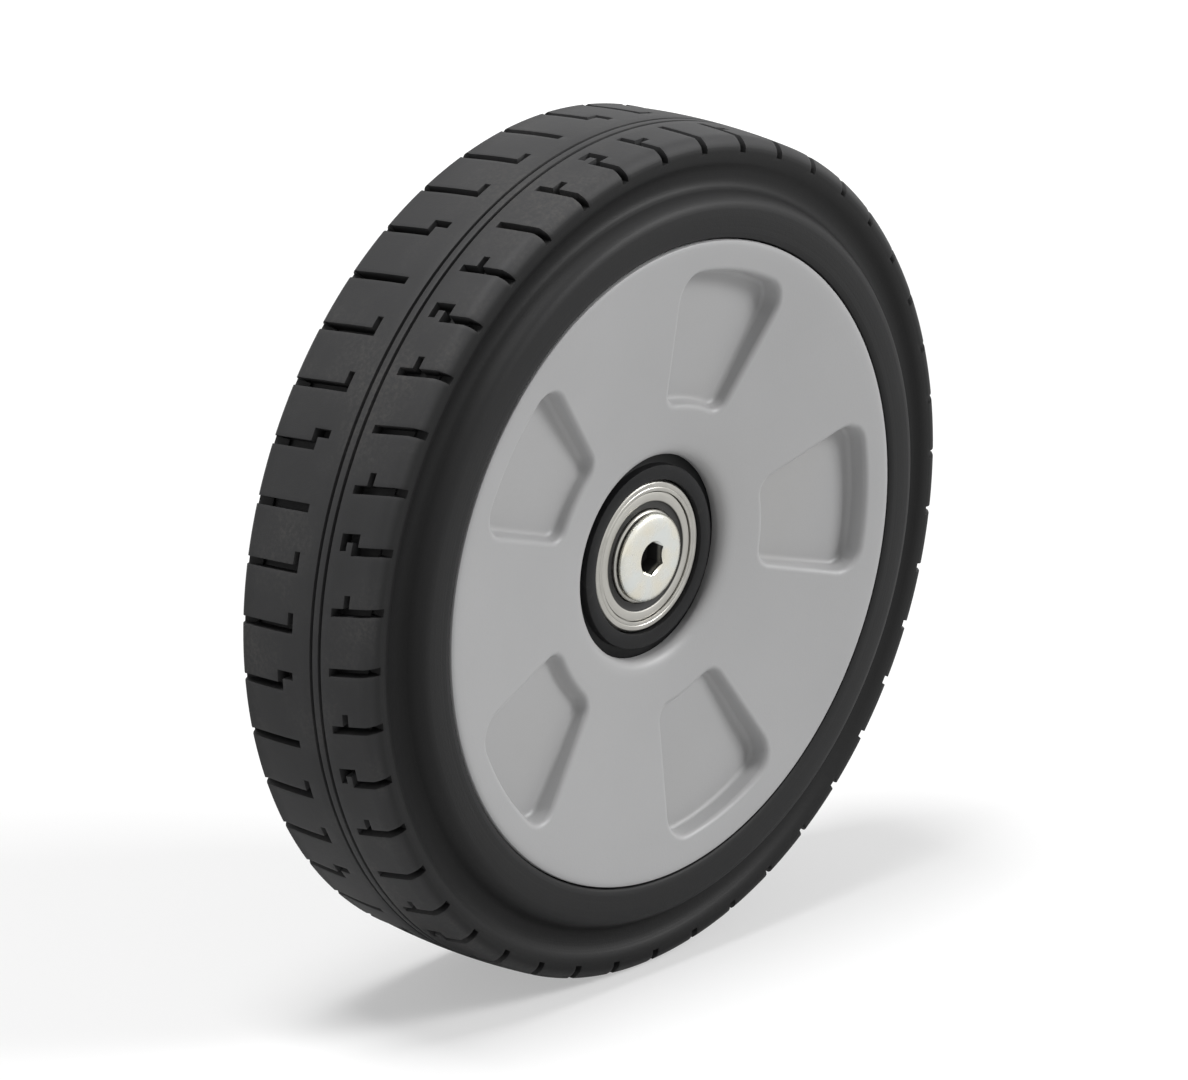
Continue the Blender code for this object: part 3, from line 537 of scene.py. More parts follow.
class CoverSizes(bpy.types.PropertyGroup):
    """Sizes and colours of the outboard cover."""

    pockets: whole_number("Pockets", "Fan-shaped pockets in the face", 5, 2)
    pocket_depth: length_size(
        "Pocket depth", "Depth of the pockets' walls below the cover's edge, halfway out", 6.0 * MM
    )
    corner: length_size("Pocket corners", "Radius of the pockets' outer corners in plan", 8.0 * MM)
    wall: length_size("Wall", "Thickness of the moulded wall", 2.0 * MM)
    plastic_colour: colour_choice("Plastic", "Colour of the cover", (0.393, 0.393, 0.396))
    # On the cover this dust colour also paints shade on the pockets' floors and towards the hub
    dust_colour: colour_choice("Dust", "Colour of the dust in the pockets", (0.3, 0.29, 0.27))


class RimSizes(bpy.types.PropertyGroup):
    """Sizes and colours of the black rim."""

    ribs: whole_number("Ribs", "Ribs between the hub boss and the ring", 25, 3)
    rib_thickness: length_size("Rib thickness", "Thickness of a rib", 1.8 * MM)
    plastic_colour: colour_choice("Plastic", "Colour of the rim", (0.0115, 0.0115, 0.012))
    dust_colour: colour_choice("Dust", "Colour of the dust on the rim", (0.07, 0.067, 0.06))


class AxleSizes(bpy.types.PropertyGroup):
    """Sizes and colours of the bearings and the axle."""

    thread_pitch: length_size("Thread pitch", "Pitch of the thread on the axle stub", 1.75 * MM)
    socket: length_size("Socket", "Size of the hex socket across its flats", 8.0 * MM)
    steel_colour: colour_choice("Bearing steel", "Colour of the bearing rings", (0.5, 0.49, 0.455))
    shield_colour: colour_choice("Shields", "Colour of the bearing shields", (0.42, 0.41, 0.38))
    zinc_colour: colour_choice("Zinc", "Colour of the zinc plate", (0.8, 0.79, 0.75))


class StageSizes(bpy.types.PropertyGroup):
    """The camera, the lamps and the floor."""

    azimuth: angle_size("Azimuth", "Direction of the camera round the wheel", -49.3)
    elevation: angle_size("Elevation", "Height of the camera above the level", 19.7)
    roll: angle_size("Roll", "Tilt of the camera about its line of sight", 1.3)
    distance: length_size("Distance", "Distance of the camera from the middle of the wheel", 3.705)
    lens: bpy.props.FloatProperty(
        name="Lens", description="Focal length in millimetres", default=440.0
    )
    floor_colour: colour_choice("Floor", "Colour of the floor", (0.62, 0.62, 0.62))


# -------------------------------------------------------------------- tyre


class WHEEL_OT_tyre(bpy.types.Operator):
    """Model the rubber tyre with its tread and stepped sidewall"""

    bl_idname = "wheel.tyre"
    bl_label = "Tyre"

    # The crown: its middle, half its width and how far it drops over that
    crown_middle = -4.5 * MM
    crown_half = 27.0 * MM
    crown_drop = 2.0 * MM

    # Corners past the shoulder lean with the grooves, faces past the foot can be cut
    shoulder = 106.0 * MM
    groove_foot = 106.6 * MM

    # The tread as a grid: rings of faces along the axle, in millimetres, by columns
    # round it. The blocks lie outside the two edges of the centre band.
    rows = (
        -20.0, -18.2, -16.4, -14.6, -12.8, -11.0, -9.1, -6.4, -5.4, -3.6,
        -2.6, 0.4, 3.4, 5.2, 7.0, 8.8, 11.4, 14.2, 17.0, 19.8,
    )
    columns_per_pitch = 14
    band_low = -9.1
    band_high = 3.4

    # How the grooves lean, in millimetres: from where, over what width and how far
    outboard_lean = (band_low, -13.4, -2.6)
    inboard_lean = (band_high, 19.1, 2.0)

    # First column of a cross groove, and the kinds of groove that follow each other
    outboard_grooves = (3, ("hook", "spur", "plain", "spur"))
    inboard_grooves = (10, ("spur", "spur", "hook", "plain"))

    # Rings where a kind of groove takes up other columns than its own two
    straight = (0, 1)
    bends = (
        (-14.6, -12.8, {"hook": (-3, 1), "spur": (-3, 1)}),
        (-12.8, -11.0, {"hook": (-3, -2)}),
        (-11.0, -9.1, {"hook": (-3, 0)}),
        (3.4, 5.2, {"hook": (-3, -2), "spur": (-3, 1)}),
        (5.2, 7.0, {"hook": (-3, -2)}),
        (7.0, 8.8, {"hook": (-3, 1)}),
    )

    # Where the fine grooves lie on both sides of the crown's middle
    fine_low = 0.9 * MM
    fine_high = 1.9 * MM

    def crown(self, along):
        """Radius of the tread at a place along the axle."""
        share = (along - self.crown_middle) / self.crown_half
        return TYRE_HIGH.x - self.crown_drop * share * share

    def outline(self):
        """Section of the tyre, its sidewalls rounded and its tread in rows."""
        front = [
            (82.6, -12.8), (82.6, -22.1), (85.1, -22.1), (85.1, -25.7), (85.35, -26.45),
            (86.0, -26.85), (87.2, -26.9), (90.0, -26.88), (92.6, -26.75), (93.9, -26.45),
            (94.8, -25.8), (95.5, -24.9), (96.1, -23.8), (96.7, -22.6), (97.4, -21.7),
            (98.4, -21.1), (99.8, -20.9), (101.2, -20.95), (102.4, -21.3), (103.3, -21.8),
            (104.1, -22.2), (105.1, -22.42), (106.5, -22.5),
            (107.5, -22.4), (108.3, -22.1), (109.0, -21.6), (109.6, -21.0),
        ]
        back = [
            (109.5, 20.9), (108.9, 21.7), (108.2, 22.2), (107.2, 22.6), (105.0, 23.15),
            (101.0, 23.8), (96.0, 24.35), (91.0, 24.6), (86.5, 24.6), (84.2, 24.45),
            (82.6, 23.8), (81.75, 22.9), (81.7, 19.8), (79.7, 19.8), (79.7, 4.0), (79.7, -12.8),
        ]
        tread = [(self.crown(row * MM), row * MM) for row in self.rows]
        return in_metres(front) + tread + in_metres(back)

    def lean(self, along):
        """How far the grooves have leant round the tyre, in radians."""
        start, width, shift = self.outboard_lean if along < 0.0 else self.inboard_lean
        share = min(1.0, max(0.0, (along - start * MM) / (width * MM)))
        return shift * MM / TYRE_HIGH.x * share

    def lean_rows(self, piece):
        """Turn each ring of corners on the tread by its lean."""
        for row in sorted({along for radius, along in self.outline() if radius > self.shoulder}):

            def on_row(corner):
                near = abs(corner.co.y - row) < 0.001 * MM
                return near and polar(corner.co)[0] > self.shoulder

            turn = self.lean(row)
            if turn:
                choose(piece, "VERT", on_row)
                bpy.ops.transform.rotate(value=turn, orient_axis="Y", center_override=CENTRE)

    def in_groove(self, face, pitches):
        """True for a face that lies in one of the tread's cross grooves."""
        place = face.calc_center_median()
        radius, angle = polar(place)
        along = place.y / MM
        if radius < self.groove_foot or self.band_low <= along <= self.band_high:
            return False
        columns = pitches * self.columns_per_pitch
        column = int(((angle - self.lean(place.y)) % math.tau) / math.tau * columns)
        pitch, inside = divmod(column, self.columns_per_pitch)
        start, kinds = self.outboard_grooves if along < 0.0 else self.inboard_grooves
        kind = kinds[pitch % len(kinds)]
        first, last = self.straight
        for low, high, reaches in self.bends:
            if low < along < high:
                first, last = reaches.get(kind, self.straight)
        return first <= inside - start <= last

    def in_centre_groove(self, face):
        """True for a face of the two fine grooves beside the centre rib."""
        place = face.calc_center_median()
        beside = self.fine_low < abs(place.y - self.crown_middle) < self.fine_high
        return beside and polar(place)[0] > self.shoulder

    def execute(self, context):
        """Spin the section, lean its rows, sink the grooves and round the blocks."""
        sizes = context.scene.wheel_tyre
        steps = sizes.pitches * self.columns_per_pitch
        piece = turned("tyre_rubber_body", self.outline(), steps)
        self.lean_rows(piece)
        for depth, test in (
            (sizes.groove_depth, lambda face: self.in_groove(face, sizes.pitches)),
            (sizes.centre_depth, self.in_centre_groove),
        ):
            choose(piece, "FACE", test)
            bpy.ops.mesh.extrude_region()
            bpy.ops.transform.shrink_fatten(value=-depth)
        soften(piece, sizes.edge, 2, 42.0)
        finish_piece(piece, rubber_finish(sizes), "wheel", ["tyre"])
        return {"FINISHED"}


# ------------------------------------------------------------------- cover


class WHEEL_OT_cover(bpy.types.Operator):
    """Model the grey cover with its fan-shaped pockets and snap hooks"""

    bl_idname = "wheel.cover"
    bl_label = "Cover"

    # Plan of a pocket: half its angle, its two arcs, how far its sides stand off the
    # radius, and the inner corners' radius as a share of the outer corners'
    half_angle = math.radians(17.0)
    inner = 39.0 * MM
    outer = 78.1 * MM
    flare = 0.5 * MM
    inner_corner = 0.75
    bend_steps = 8

    # The skin behind the collar's foot is never part of a pocket
    collar_foot = COVER_FACE + 7.0 * MM

    # Where the fans start, and how far they reach through the skin
    fan_start = -32.0 * MM
    fan_length = 22.0 * MM

    # Steps of the pocket's rounded rim and of the fillet at its foot, as pairs of
    # millimetres inwards and down. The flat ring keeps the steps from folding.
    ring = ((0.3, 0.0),)
    lip = ((0.5, 0.1), (0.45, 0.26), (0.35, 0.4), (0.25, 0.5), (0.4, 0.5))
    foot = ((0.2, 0.3), (0.3, 0.3), (0.4, 0.22), (0.5, 0.1), (0.4, 0.0))
    tilt = math.radians(3.6)

    # Only the single face of a pocket has more corners than this. Corners closer than
    # the first distance are doubles after the cut, and no edge round a pocket's ring
    # stays shorter than the second.
    most_corners = 24
    doubles = 0.3 * MM
    shortest = 1.0 * MM

    # The dish of the face, in millimetres: its edge, its drop and its two radii
    edge_face = -26.9
    drop = 6.5
    edge_radius = 82.4
    collar_radius = 27.0

    def outline(self):
        """Section of the cover's outer skin, from its skirt to its collar."""
        points = [
            (84.8, -24.7), (84.8, -26.2), (84.6, -26.62), (84.15, -26.86), (83.4, -26.9),
            (82.4, -26.88),
        ]
        for radius in (80.0, 72.0, 60.0, 48.0, 38.0, 31.6):
            points.append((radius, self.dish(radius)))
        points += [
            (30.3, -20.72), (29.2, -20.4), (28.3, -19.95), (27.6, -19.35), (27.15, -18.6),
            (27.0, -17.8), (27.0, -16.4),
        ]
        return in_metres(points)

    def dish(self, radius):
        """Place of the outer face at a radius, both in millimetres."""
        width = self.edge_radius - self.collar_radius
        return self.edge_face + self.drop * (self.edge_radius - radius) / width

    def corner(self, reach, bend):
        """Middle of a rounded corner: its distance from the axle and its angle."""
        lean = math.asin((abs(bend) - self.flare) / (reach - bend))
        return reach - bend, self.half_angle - lean

    def fan(self, sizes):
        """Plan of one pocket with its rounded corners, as a closed row of places."""
        side = []
        turns = []
        square = self.half_angle + math.pi / 2
        bends = (sizes.corner, -self.inner_corner * sizes.corner)
        for reach, bend in zip((self.outer, self.inner), bends):
            distance, angle = self.corner(reach, bend)
            turns.append(angle)
            heart = Vector((distance * math.cos(angle), distance * math.sin(angle)))
            first, last = (angle, square) if bend > 0.0 else (square, angle + math.pi)
            for step in range(self.bend_steps + 1):
                turn = first + (last - first) * step / self.bend_steps
                side.append(heart + abs(bend) * Vector((math.cos(turn), math.sin(turn))))
        arc = self.arc(self.outer, turns[0], 6)
        back = self.arc(self.inner, -turns[1], 4)
        other = [Vector((point.x, -point.y)) for point in reversed(side)]
        return [(point.x, self.fan_start, point.y) for point in arc + side + back + other]

    @staticmethod
    def arc(radius, reach, parts):
        """Places on an arc between its ends, which lie at plus and minus its reach."""
        turns = [reach * step / parts for step in range(1 - parts, parts)]
        return [Vector((radius * math.cos(turn), radius * math.sin(turn))) for turn in turns]

    def pocket_of(self, face, plan, pockets):
        """Number of the pocket that a face lies over, or None."""
        place = face.calc_center_median()
        radius, angle = polar(place)
        nearest = round(angle / math.tau * pockets) % pockets
        turn = from_nearest(angle, pockets)
        across, up = radius * math.cos(turn), radius * math.sin(turn)
        inside = False
        for (x0, _, z0), (x1, _, z1) in zip(plan, plan[1:] + plan[:1]):
            if (z0 > up) != (z1 > up) and across < x0 + (up - z0) * (x1 - x0) / (z1 - z0):
                inside = not inside
        return nearest if inside and place.y < self.collar_foot else None

    def level(self, piece, plan, sizes):
        """Press the face at the foot of each pocket's wall onto a plane."""
        middle = (self.inner + self.outer) / 2
        for index in range(sizes.pockets):
            turn = index * math.tau / sizes.pockets
            out = Vector((math.cos(turn), 0.0, math.sin(turn)))
            away = Vector((0.0, 1.0, 0.0))
            normal = away * math.cos(self.tilt) + out * math.sin(self.tilt)
            along = out * math.cos(self.tilt) - away * math.sin(self.tilt)
            basis = Matrix((along, normal.cross(along), normal)).transposed()
            choose(
                piece,
                "FACE",
                lambda face: self.is_pocket(face)
                and self.pocket_of(face, plan, sizes.pockets) == index,
            )
            bpy.ops.transform.resize(
                value=(1.0, 1.0, 0.0),
                orient_type="GLOBAL",
                orient_matrix=basis,
                orient_matrix_type="GLOBAL",
                center_override=out * middle + away * (COVER_FACE + sizes.pocket_depth),
            )
        choose(piece, "FACE", self.is_pocket)

    def is_pocket(self, face):
        """True for the single face that closes a pocket."""
        return len(face.verts) > self.most_corners

    def execute(self, context):
        """Spin the skin, sink the pockets, thicken the wall and add the hooks."""
        sizes = context.scene.wheel_cover
        piece = turned("cover_grey_shell", self.outline(), 240, closed=False)
        shape = bmesh.from_edit_mesh(piece.data)
        if sum(face.normal.y * face.calc_area() for face in shape.faces) > 0.0:
            bpy.ops.mesh.flip_normals()
        let_go()
        fans = draw("pocket_fans", self.fan(sizes), True)
        extrude(0.0, self.fan_length, 0.0)
        repeat_round(sizes.pockets)
        take(piece, fans)
        bpy.ops.object.join()
        bpy.ops.object.mode_set(mode="EDIT")
        choose(piece, "FACE", self.is_wall)
        bpy.ops.mesh.intersect(mode="SELECT_UNSELECT", separate_mode="NONE", solver="EXACT")
        choose(piece, "FACE", self.is_wall)
        bpy.ops.mesh.delete(type="FACE")
        put_in_order()
        bpy.ops.mesh.remove_doubles(threshold=self.doubles)
        plan = self.fan(sizes)
        choose(
            piece, "FACE", lambda face: self.pocket_of(face, plan, sizes.pockets) is not None
        )
        bpy.ops.mesh.dissolve_faces()
        self.sink(self.ring)
        bpy.ops.mesh.remove_doubles(threshold=self.shortest)
        choose(piece, "FACE", self.is_pocket)
        self.sink(self.lip)
        self.level(piece, plan, sizes)
        self.sink(self.foot)
        apply_modifier(piece, "SOLIDIFY", thickness=sizes.wall, offset=-1.0)
        self.add_hooks(piece, sizes.pockets)
        finish_piece(piece, cover_finish(sizes), "wheel", ["wheel_cover"])
        return {"FINISHED"}

    @staticmethod
    def sink(steps):
        """Step the chosen faces inwards and down, both in millimetres."""
        for inwards, down in steps:
            bpy.ops.mesh.inset(thickness=inwards * MM, depth=-down * MM, use_even_offset=False)

    def is_wall(self, face):
        """True for a face of the fans, which stand along the axle between two radii."""
        radius = polar(face.calc_center_median())[0]
        inside = self.inner - 1.0 * MM < radius < self.outer + 1.0 * MM
        return inside and abs(face.normal.y) < 0.3

    def add_hooks(self, piece, count):
        """Hang a snap hook on the back of each pocket."""
        side = (
            (56.0, -17.2), (58.0, -17.2), (58.0, -12.8), (58.9, -12.8), (58.0, -10.4),
            (56.0, -10.4),
        )
        half = 3.5 * MM
        points = [(radius * MM, along * MM, -half) for radius, along in side]
        hook = bar("cover_hook", points, (0.0, 0.0, 2 * half))
        repeat_round(count)
        soften(hook, 0.25 * MM, 2)
        take(piece, hook)
        bpy.ops.object.join()


# --------------------------------------------------------------------- rim


class WHEEL_OT_rim(bpy.types.Operator):
    """Model the black rim with its channel, swept ribs and hub"""

    bl_idname = "wheel.rim"
    bl_label = "Rim"

    # The ribs, in millimetres: where they start inside the boss and how long they are,
    # the boss and the reach of their sweep, its angle, where they stand on the disc,
    # their height, and the circle of the hooks
    rib_start = 29.0
    rib_length = 40.1
    boss_radius = 29.5
    rib_reach = 39.1
    sweep = math.radians(7.0)
    foot = -13.6
    rib_height = 16.6
    hook_radius = 56.0

    def outline(self):
        """Section of the rim, from the hub bore round the barrel and back."""
        return in_metres((
            (20.3, -18.5), (24.2, -18.5), (24.2, -16.1), (80.1, -16.1), (80.1, -24.4),
            (84.5, -24.4), (84.5, -22.4), (82.3, -22.4), (82.3, -13.1), (79.4, -13.1),
            (79.4, 20.1), (81.4, 20.1), (81.4, 22.5), (77.2, 22.5), (77.2, -13.1),
            (73.0, -13.1), (73.0, 22.5), (68.6, 22.5), (68.1, 16.0), (67.3, 8.26),
            (66.6, 2.0), (65.2, -4.2), (63.6, -8.4), (61.8, -11.6), (60.0, -13.1),
            (29.5, -13.1), (29.5, 11.9), (27.3, 11.9), (27.3, 3.9), (24.2, 3.9),
            (24.2, 24.1), (20.3, 24.1), (20.3, 11.4), (17.6, 11.4), (17.6, -5.5),
            (20.3, -5.5),
        ))

    def rib(self, sizes):
        """Plan of one swept rib as places at its foot."""
        sides = ([], [])
        stations = 9
        for index in range(stations):
            radius = (self.rib_start + self.rib_length * index / (stations - 1)) * MM
            angle = self.phase(sizes) + self.swept(radius / MM)
            half = sizes.rib_thickness / 2 / radius
            for side, lean in zip(sides, (half, -half)):
                turn = angle + lean
                side.append((radius * math.cos(turn), self.foot * MM, radius * math.sin(turn)))
        return sides[1] + sides[0][::-1]

    def swept(self, radius):
        """How far a rib has swept round at a radius in millimetres."""
        share = (radius - self.boss_radius) / self.rib_reach
        return self.sweep * share * share

    def phase(self, sizes):
        """Angle of the first rib at the boss, so that the hooks stand between ribs."""
        return math.tau / sizes.ribs / 2 - self.swept(self.hook_radius)

    def spokes(self, name, inner, outer, thickness, low, high, count):
        """Straight radial bars at even angles, with their sizes in millimetres."""
        half = thickness / 2
        corners = ((inner, -half), (outer, -half), (outer, half), (inner, half))
        points = [(radius * MM, low * MM, side * MM) for radius, side in corners]
        piece = bar(name, points, (0.0, (high - low) * MM, 0.0))
        bpy.ops.transform.rotate(value=math.pi / count, orient_axis="Y", center_override=CENTRE)
        repeat_round(count)
        return piece

    def execute(self, context):
        """Spin the section, then grow the ribs and gussets from it."""
        sizes = context.scene.wheel_rim
        piece = turned("rim_black_moulding", self.outline(), 200)
        soften(piece, 0.35 * MM, 2, 40.0)
        ribs = bar("rim_ribs", self.rib(sizes), (0.0, self.rib_height * MM, 0.0))
        repeat_round(sizes.ribs)
        soften(ribs, 0.3 * MM, 2, 60.0)
        combine(piece, ribs, "UNION")
        for bars in (
            ("channel_ribs", 72.5, 77.7, 1.6, self.foot, 18.5, sizes.ribs),
            ("hub_gussets", 23.7, 28.4, 2.2, 3.4, 11.4, 5),
        ):
            combine(piece, self.spokes(*bars), "UNION")
        finish_piece(piece, rim_finish(sizes), "wheel", ["rim"], 32.0)
        return {"FINISHED"}


# ---------------------------------------------------------------- bearings


class WHEEL_OT_bearings(bpy.types.Operator):
    """Model the rings, shields and balls of both bearings, and give the cages their finish"""

    bl_idname = "wheel.bearings"
    bl_label = "Bearings"

    # The balls and their track, in millimetres, and the balls in one bearing
    circle = 14.25
    ball = 3.37
    track = 3.67
    count = 8

    def ring(self, name, points, centre):
        """Spin one ring of a bearing from points about the bearing's middle."""
        return turned(name, in_metres(points, centre), ROUND_STEPS)

    def groove(self, shoulder, side):
        """Points of a ball groove between two shoulders, in millimetres."""
        half = math.acos(abs(shoulder - self.circle) / self.track)
        angles = [-half + 2 * half * index / 12 for index in range(13)]
        return [
            (self.circle + side * self.track * math.cos(angle), self.track * math.sin(angle))
            for angle in angles
        ]

    def execute(self, context):
        """Build both bearings about the middles of the CAD ones."""
        sizes = context.scene.wheel_axle
        colour = tuple(sizes.steel_colour)
        steel = turned_steel_finish("bearing_steel_finish", colour, 0.26, 0.02 * MM)
        pressed = shield_finish(sizes)
        nylon = cage_finish()
        races = (
            ("outer", "wheel", (
                (20.0, -5.3), (19.4, -6.0), (18.35, -6.0), (18.2, -5.85), (18.05, -6.0),
                (17.2, -6.0), (17.2, -5.0), (16.2, -5.0), *self.groove(16.2, 1), (16.2, 5.0),
                (17.2, 5.0), (17.2, 6.0), (18.05, 6.0), (18.2, 5.85), (18.35, 6.0),
                (19.4, 6.0), (20.0, 5.3),
            )),
            ("inner", "axle", (
                (8.5, -5.6), (8.9, -6.0), (11.85, -6.0), (12.25, -5.6),
                *self.groove(12.25, -1), (12.25, 5.6), (11.85, 6.0), (8.9, 6.0), (8.5, 5.6),
            )),
        )
        for name in ("outboard", "inboard"):
            low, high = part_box("outer_race_" + name)
            centre = (low.y + high.y) / 2
            for side, body, points in races:
                race = self.ring("bearing_{}_ring_{}".format(side, name), points, centre)
                soften(race, 0.08 * MM)
                node = "{}_race_{}".format(side, name)
                finish_piece(race, steel, body, [node])
            for place, face in (("front", -1.0), ("back", 1.0)):
                self.shield(name, place, face, centre, pressed)
            self.balls(name, centre, steel)
            paint(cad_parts["cage_" + name], nylon)
        return {"FINISHED"}

    def shield(self, name, place, face, centre, pressed):
        """One pressed shield, with its rolled outer edge and its step."""
        points = [
            (16.85, 5.62), (16.6, 5.7), (14.9, 5.7), (14.62, 5.62), (14.45, 5.45), (14.3, 5.2),
            (14.05, 5.1), (12.6, 5.1), (12.55, 5.05), (12.55, 4.75), (12.6, 4.7), (14.2, 4.7),
            (14.5, 4.8), (14.7, 5.05), (14.85, 5.25), (15.1, 5.3), (16.6, 5.3), (16.85, 5.38),
        ]
        node = "shield_{}_{}".format(name, place)
        points = [(radius, face * along) for radius, along in points]
        piece = self.ring("bearing_" + node, points, centre)
        finish_piece(piece, pressed, "wheel", [node])

    def balls(self, name, centre, steel):
        """Round balls in place of the CAD ones."""
        for index in range(self.count):
            angle = index * math.tau / self.count
            radius = self.circle * MM
            node = "ball_{}_{}".format(name, index + 1)
            piece = begin(
                "bearing_" + node,
                bpy.ops.mesh.primitive_ico_sphere_add,
                subdivisions=4,
                radius=self.ball * MM,
                location=(radius * math.cos(angle), centre, radius * math.sin(angle)),
            )
            finish_piece(piece, steel, "ball_set_" + name, [node], 60.0)


# -------------------------------------------------------------------- axle


class WHEEL_OT_axle(bpy.types.Operator):
    """Model the axle bolt, washer and nut, and give the bearing spacer its finish"""

    bl_idname = "wheel.axle"
    bl_label = "Axle"

    # What the bolt's shoulders stay clear of the race and the washer
    clearance = 0.3 * MM

    def execute(self, context):
        """Build the bolt first, then what sits on its stub."""
        sizes = context.scene.wheel_axle
        zinc = zinc_finish(sizes)
        self.bolt(sizes, zinc)
        self.washer(zinc)
        self.nut(zinc)
        steel = turned_steel_finish("spacer_steel_finish", (0.5, 0.49, 0.47), 0.32, 0.03 * MM)
        paint(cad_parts["bearing_spacer"], steel)
        return {"FINISHED"}

    @staticmethod
    def hexagon(name, across, low, high):
        """A six-sided bar along the axle line."""
        return begin(
            name,
            bpy.ops.mesh.primitive_cylinder_add,
            vertices=6,
            radius=across / 2 / math.cos(math.radians(30.0)),
            depth=high - low,
            location=(0.0, (low + high) / 2, 0.0),
            rotation=(math.radians(90.0), 0.0, 0.0),
        )

    @staticmethod
    def lathe(name, *runs):
        """Spin an outline. Each run is a place along the axle, then points from there in
        millimetres: the radius and how far along."""
        outline = []
        for base, *points in runs:
            outline += in_metres(points, base)
        return turned(name, outline, ROUND_STEPS, closed=outline[0][0] > 0.0)

    @staticmethod
    def thread(name, root, crest, pitch, low, high):
        """A helical ridge about the axle line, sunk a little into the root."""
        sunk = root - 0.15 * MM
        tooth = (
            (sunk, 0.0), (root, 0.06), (crest, 0.44), (crest, 0.54), (root, 0.92), (sunk, 0.98),
        )
        ridge = draw(name, [(radius, low + share * pitch, 0.0) for radius, share in tooth], True)
        apply_modifier(
            ridge,
            "SCREW",
            axis="Y",
            angle=math.tau,
            screw_offset=pitch,
            iterations=max(1, int((high - low) / pitch) - 1),
            steps=48,
            render_steps=48,
            use_merge_vertices=True,
            merge_threshold=0.0001 * MM,
        )
        bpy.ops.object.mode_set(mode="EDIT")
        bpy.ops.mesh.select_all(action="SELECT")
        bpy.ops.mesh.fill_holes(sides=0)
        close_up()
        return ridge

    def bolt(self, sizes, zinc):
        """Round head with its hex socket, ground shank and threaded stub."""
        top = BOLT_LOW.y
        seat = RACE_LOW.y - self.clearance
        shank_end = WASHER_LOW.y - self.clearance
        end = BOLT_HIGH.y
        piece = self.lathe(
            "axle_bolt_body",
            (top, (0.0, 0.0), (8.2, 0.0), (9.9, 0.06), (10.8, 0.25), (11.35, 0.6), (11.6, 1.0)),
            (seat, (11.6, -0.25), (11.35, 0.0), (8.2, 0.0)),
            (shank_end, (8.2, -0.5), (7.7, 0.0), (5.3, 0.0), (5.1, 0.4)),
            (end, (5.1, -1.0), (4.6, 0.0), (0.0, 0.0)),
        )
        socket = self.hexagon("hex_socket", sizes.socket, top - 4.0 * MM, top + 5.5 * MM)
        combine(piece, socket, "DIFFERENCE")
        mouth = sizes.socket * 0.58
        lead = [
            (0.0, top - 1.0 * MM), (mouth + 1.0 * MM, top - 1.0 * MM), (mouth, top),
            (sizes.socket * 0.5, top + 0.5 * MM), (0.0, top + 0.5 * MM),
        ]
        combine(piece, turned("socket_lead", lead, 48, closed=False), "DIFFERENCE")
        ridge = self.thread(
            "stub_thread", 5.1 * MM, 6.0 * MM, sizes.thread_pitch,
            shank_end + 0.5 * MM, end - 0.6 * MM,
        )
        combine(piece, ridge, "UNION")
        finish_piece(piece, zinc, "axle", ["axle_bolt"])

    def washer(self, zinc):
        """Thick plain washer with one rounded face, as stamping leaves it."""
        piece = self.lathe(
            "axle_washer_body",
            (WASHER_LOW.y, (6.3, 0.15), (6.45, 0.0), (11.85, 0.0), (12.0, 0.15)),
            (
                WASHER_HIGH.y, (12.0, -0.5), (11.8, -0.15), (11.4, 0.0), (6.6, 0.0),
                (6.35, -0.15), (6.3, -0.4),
            ),
        )
        finish_piece(piece, zinc, "axle", ["axle_washer"])

    def nut(self, zinc):
        """Flanged hex nut with chamfered corners and an open bore, chamfered at both ends."""
        low = NUT_LOW.y
        high = NUT_HIGH.y
        piece = self.hexagon("axle_nut_body", 18.0 * MM, low + 1.0 * MM, high)
        soften(piece, 0.25 * MM, 2, 40.0)
        for operation, name, *runs in (
            (
                "INTERSECT", "nut_chamfer",
                (low, (0.0, 0.0), (14.0, 0.0)),
                (high, (14.0, -2.4), (8.75, 0.0), (0.0, 0.0)),
            ),
            (
                "UNION", "nut_flange",
                (
                    low, (0.0, 0.0), (12.2, 0.0), (12.5, 0.3), (12.5, 1.0), (12.2, 1.35),
                    (10.0, 2.3), (0.0, 2.3),
                ),
            ),
            (
                "DIFFERENCE", "nut_bore",
                (low, (0.0, -1.0), (7.3, -1.0), (6.3, 0.4)),
                (high, (6.3, -0.4), (7.3, 1.0), (0.0, 1.0)),
            ),
        ):
            combine(piece, self.lathe(name, *runs), operation)
        finish_piece(piece, zinc, "axle", ["axle_nut"], 30.0)


# ------------------------------------------------------------------- stage


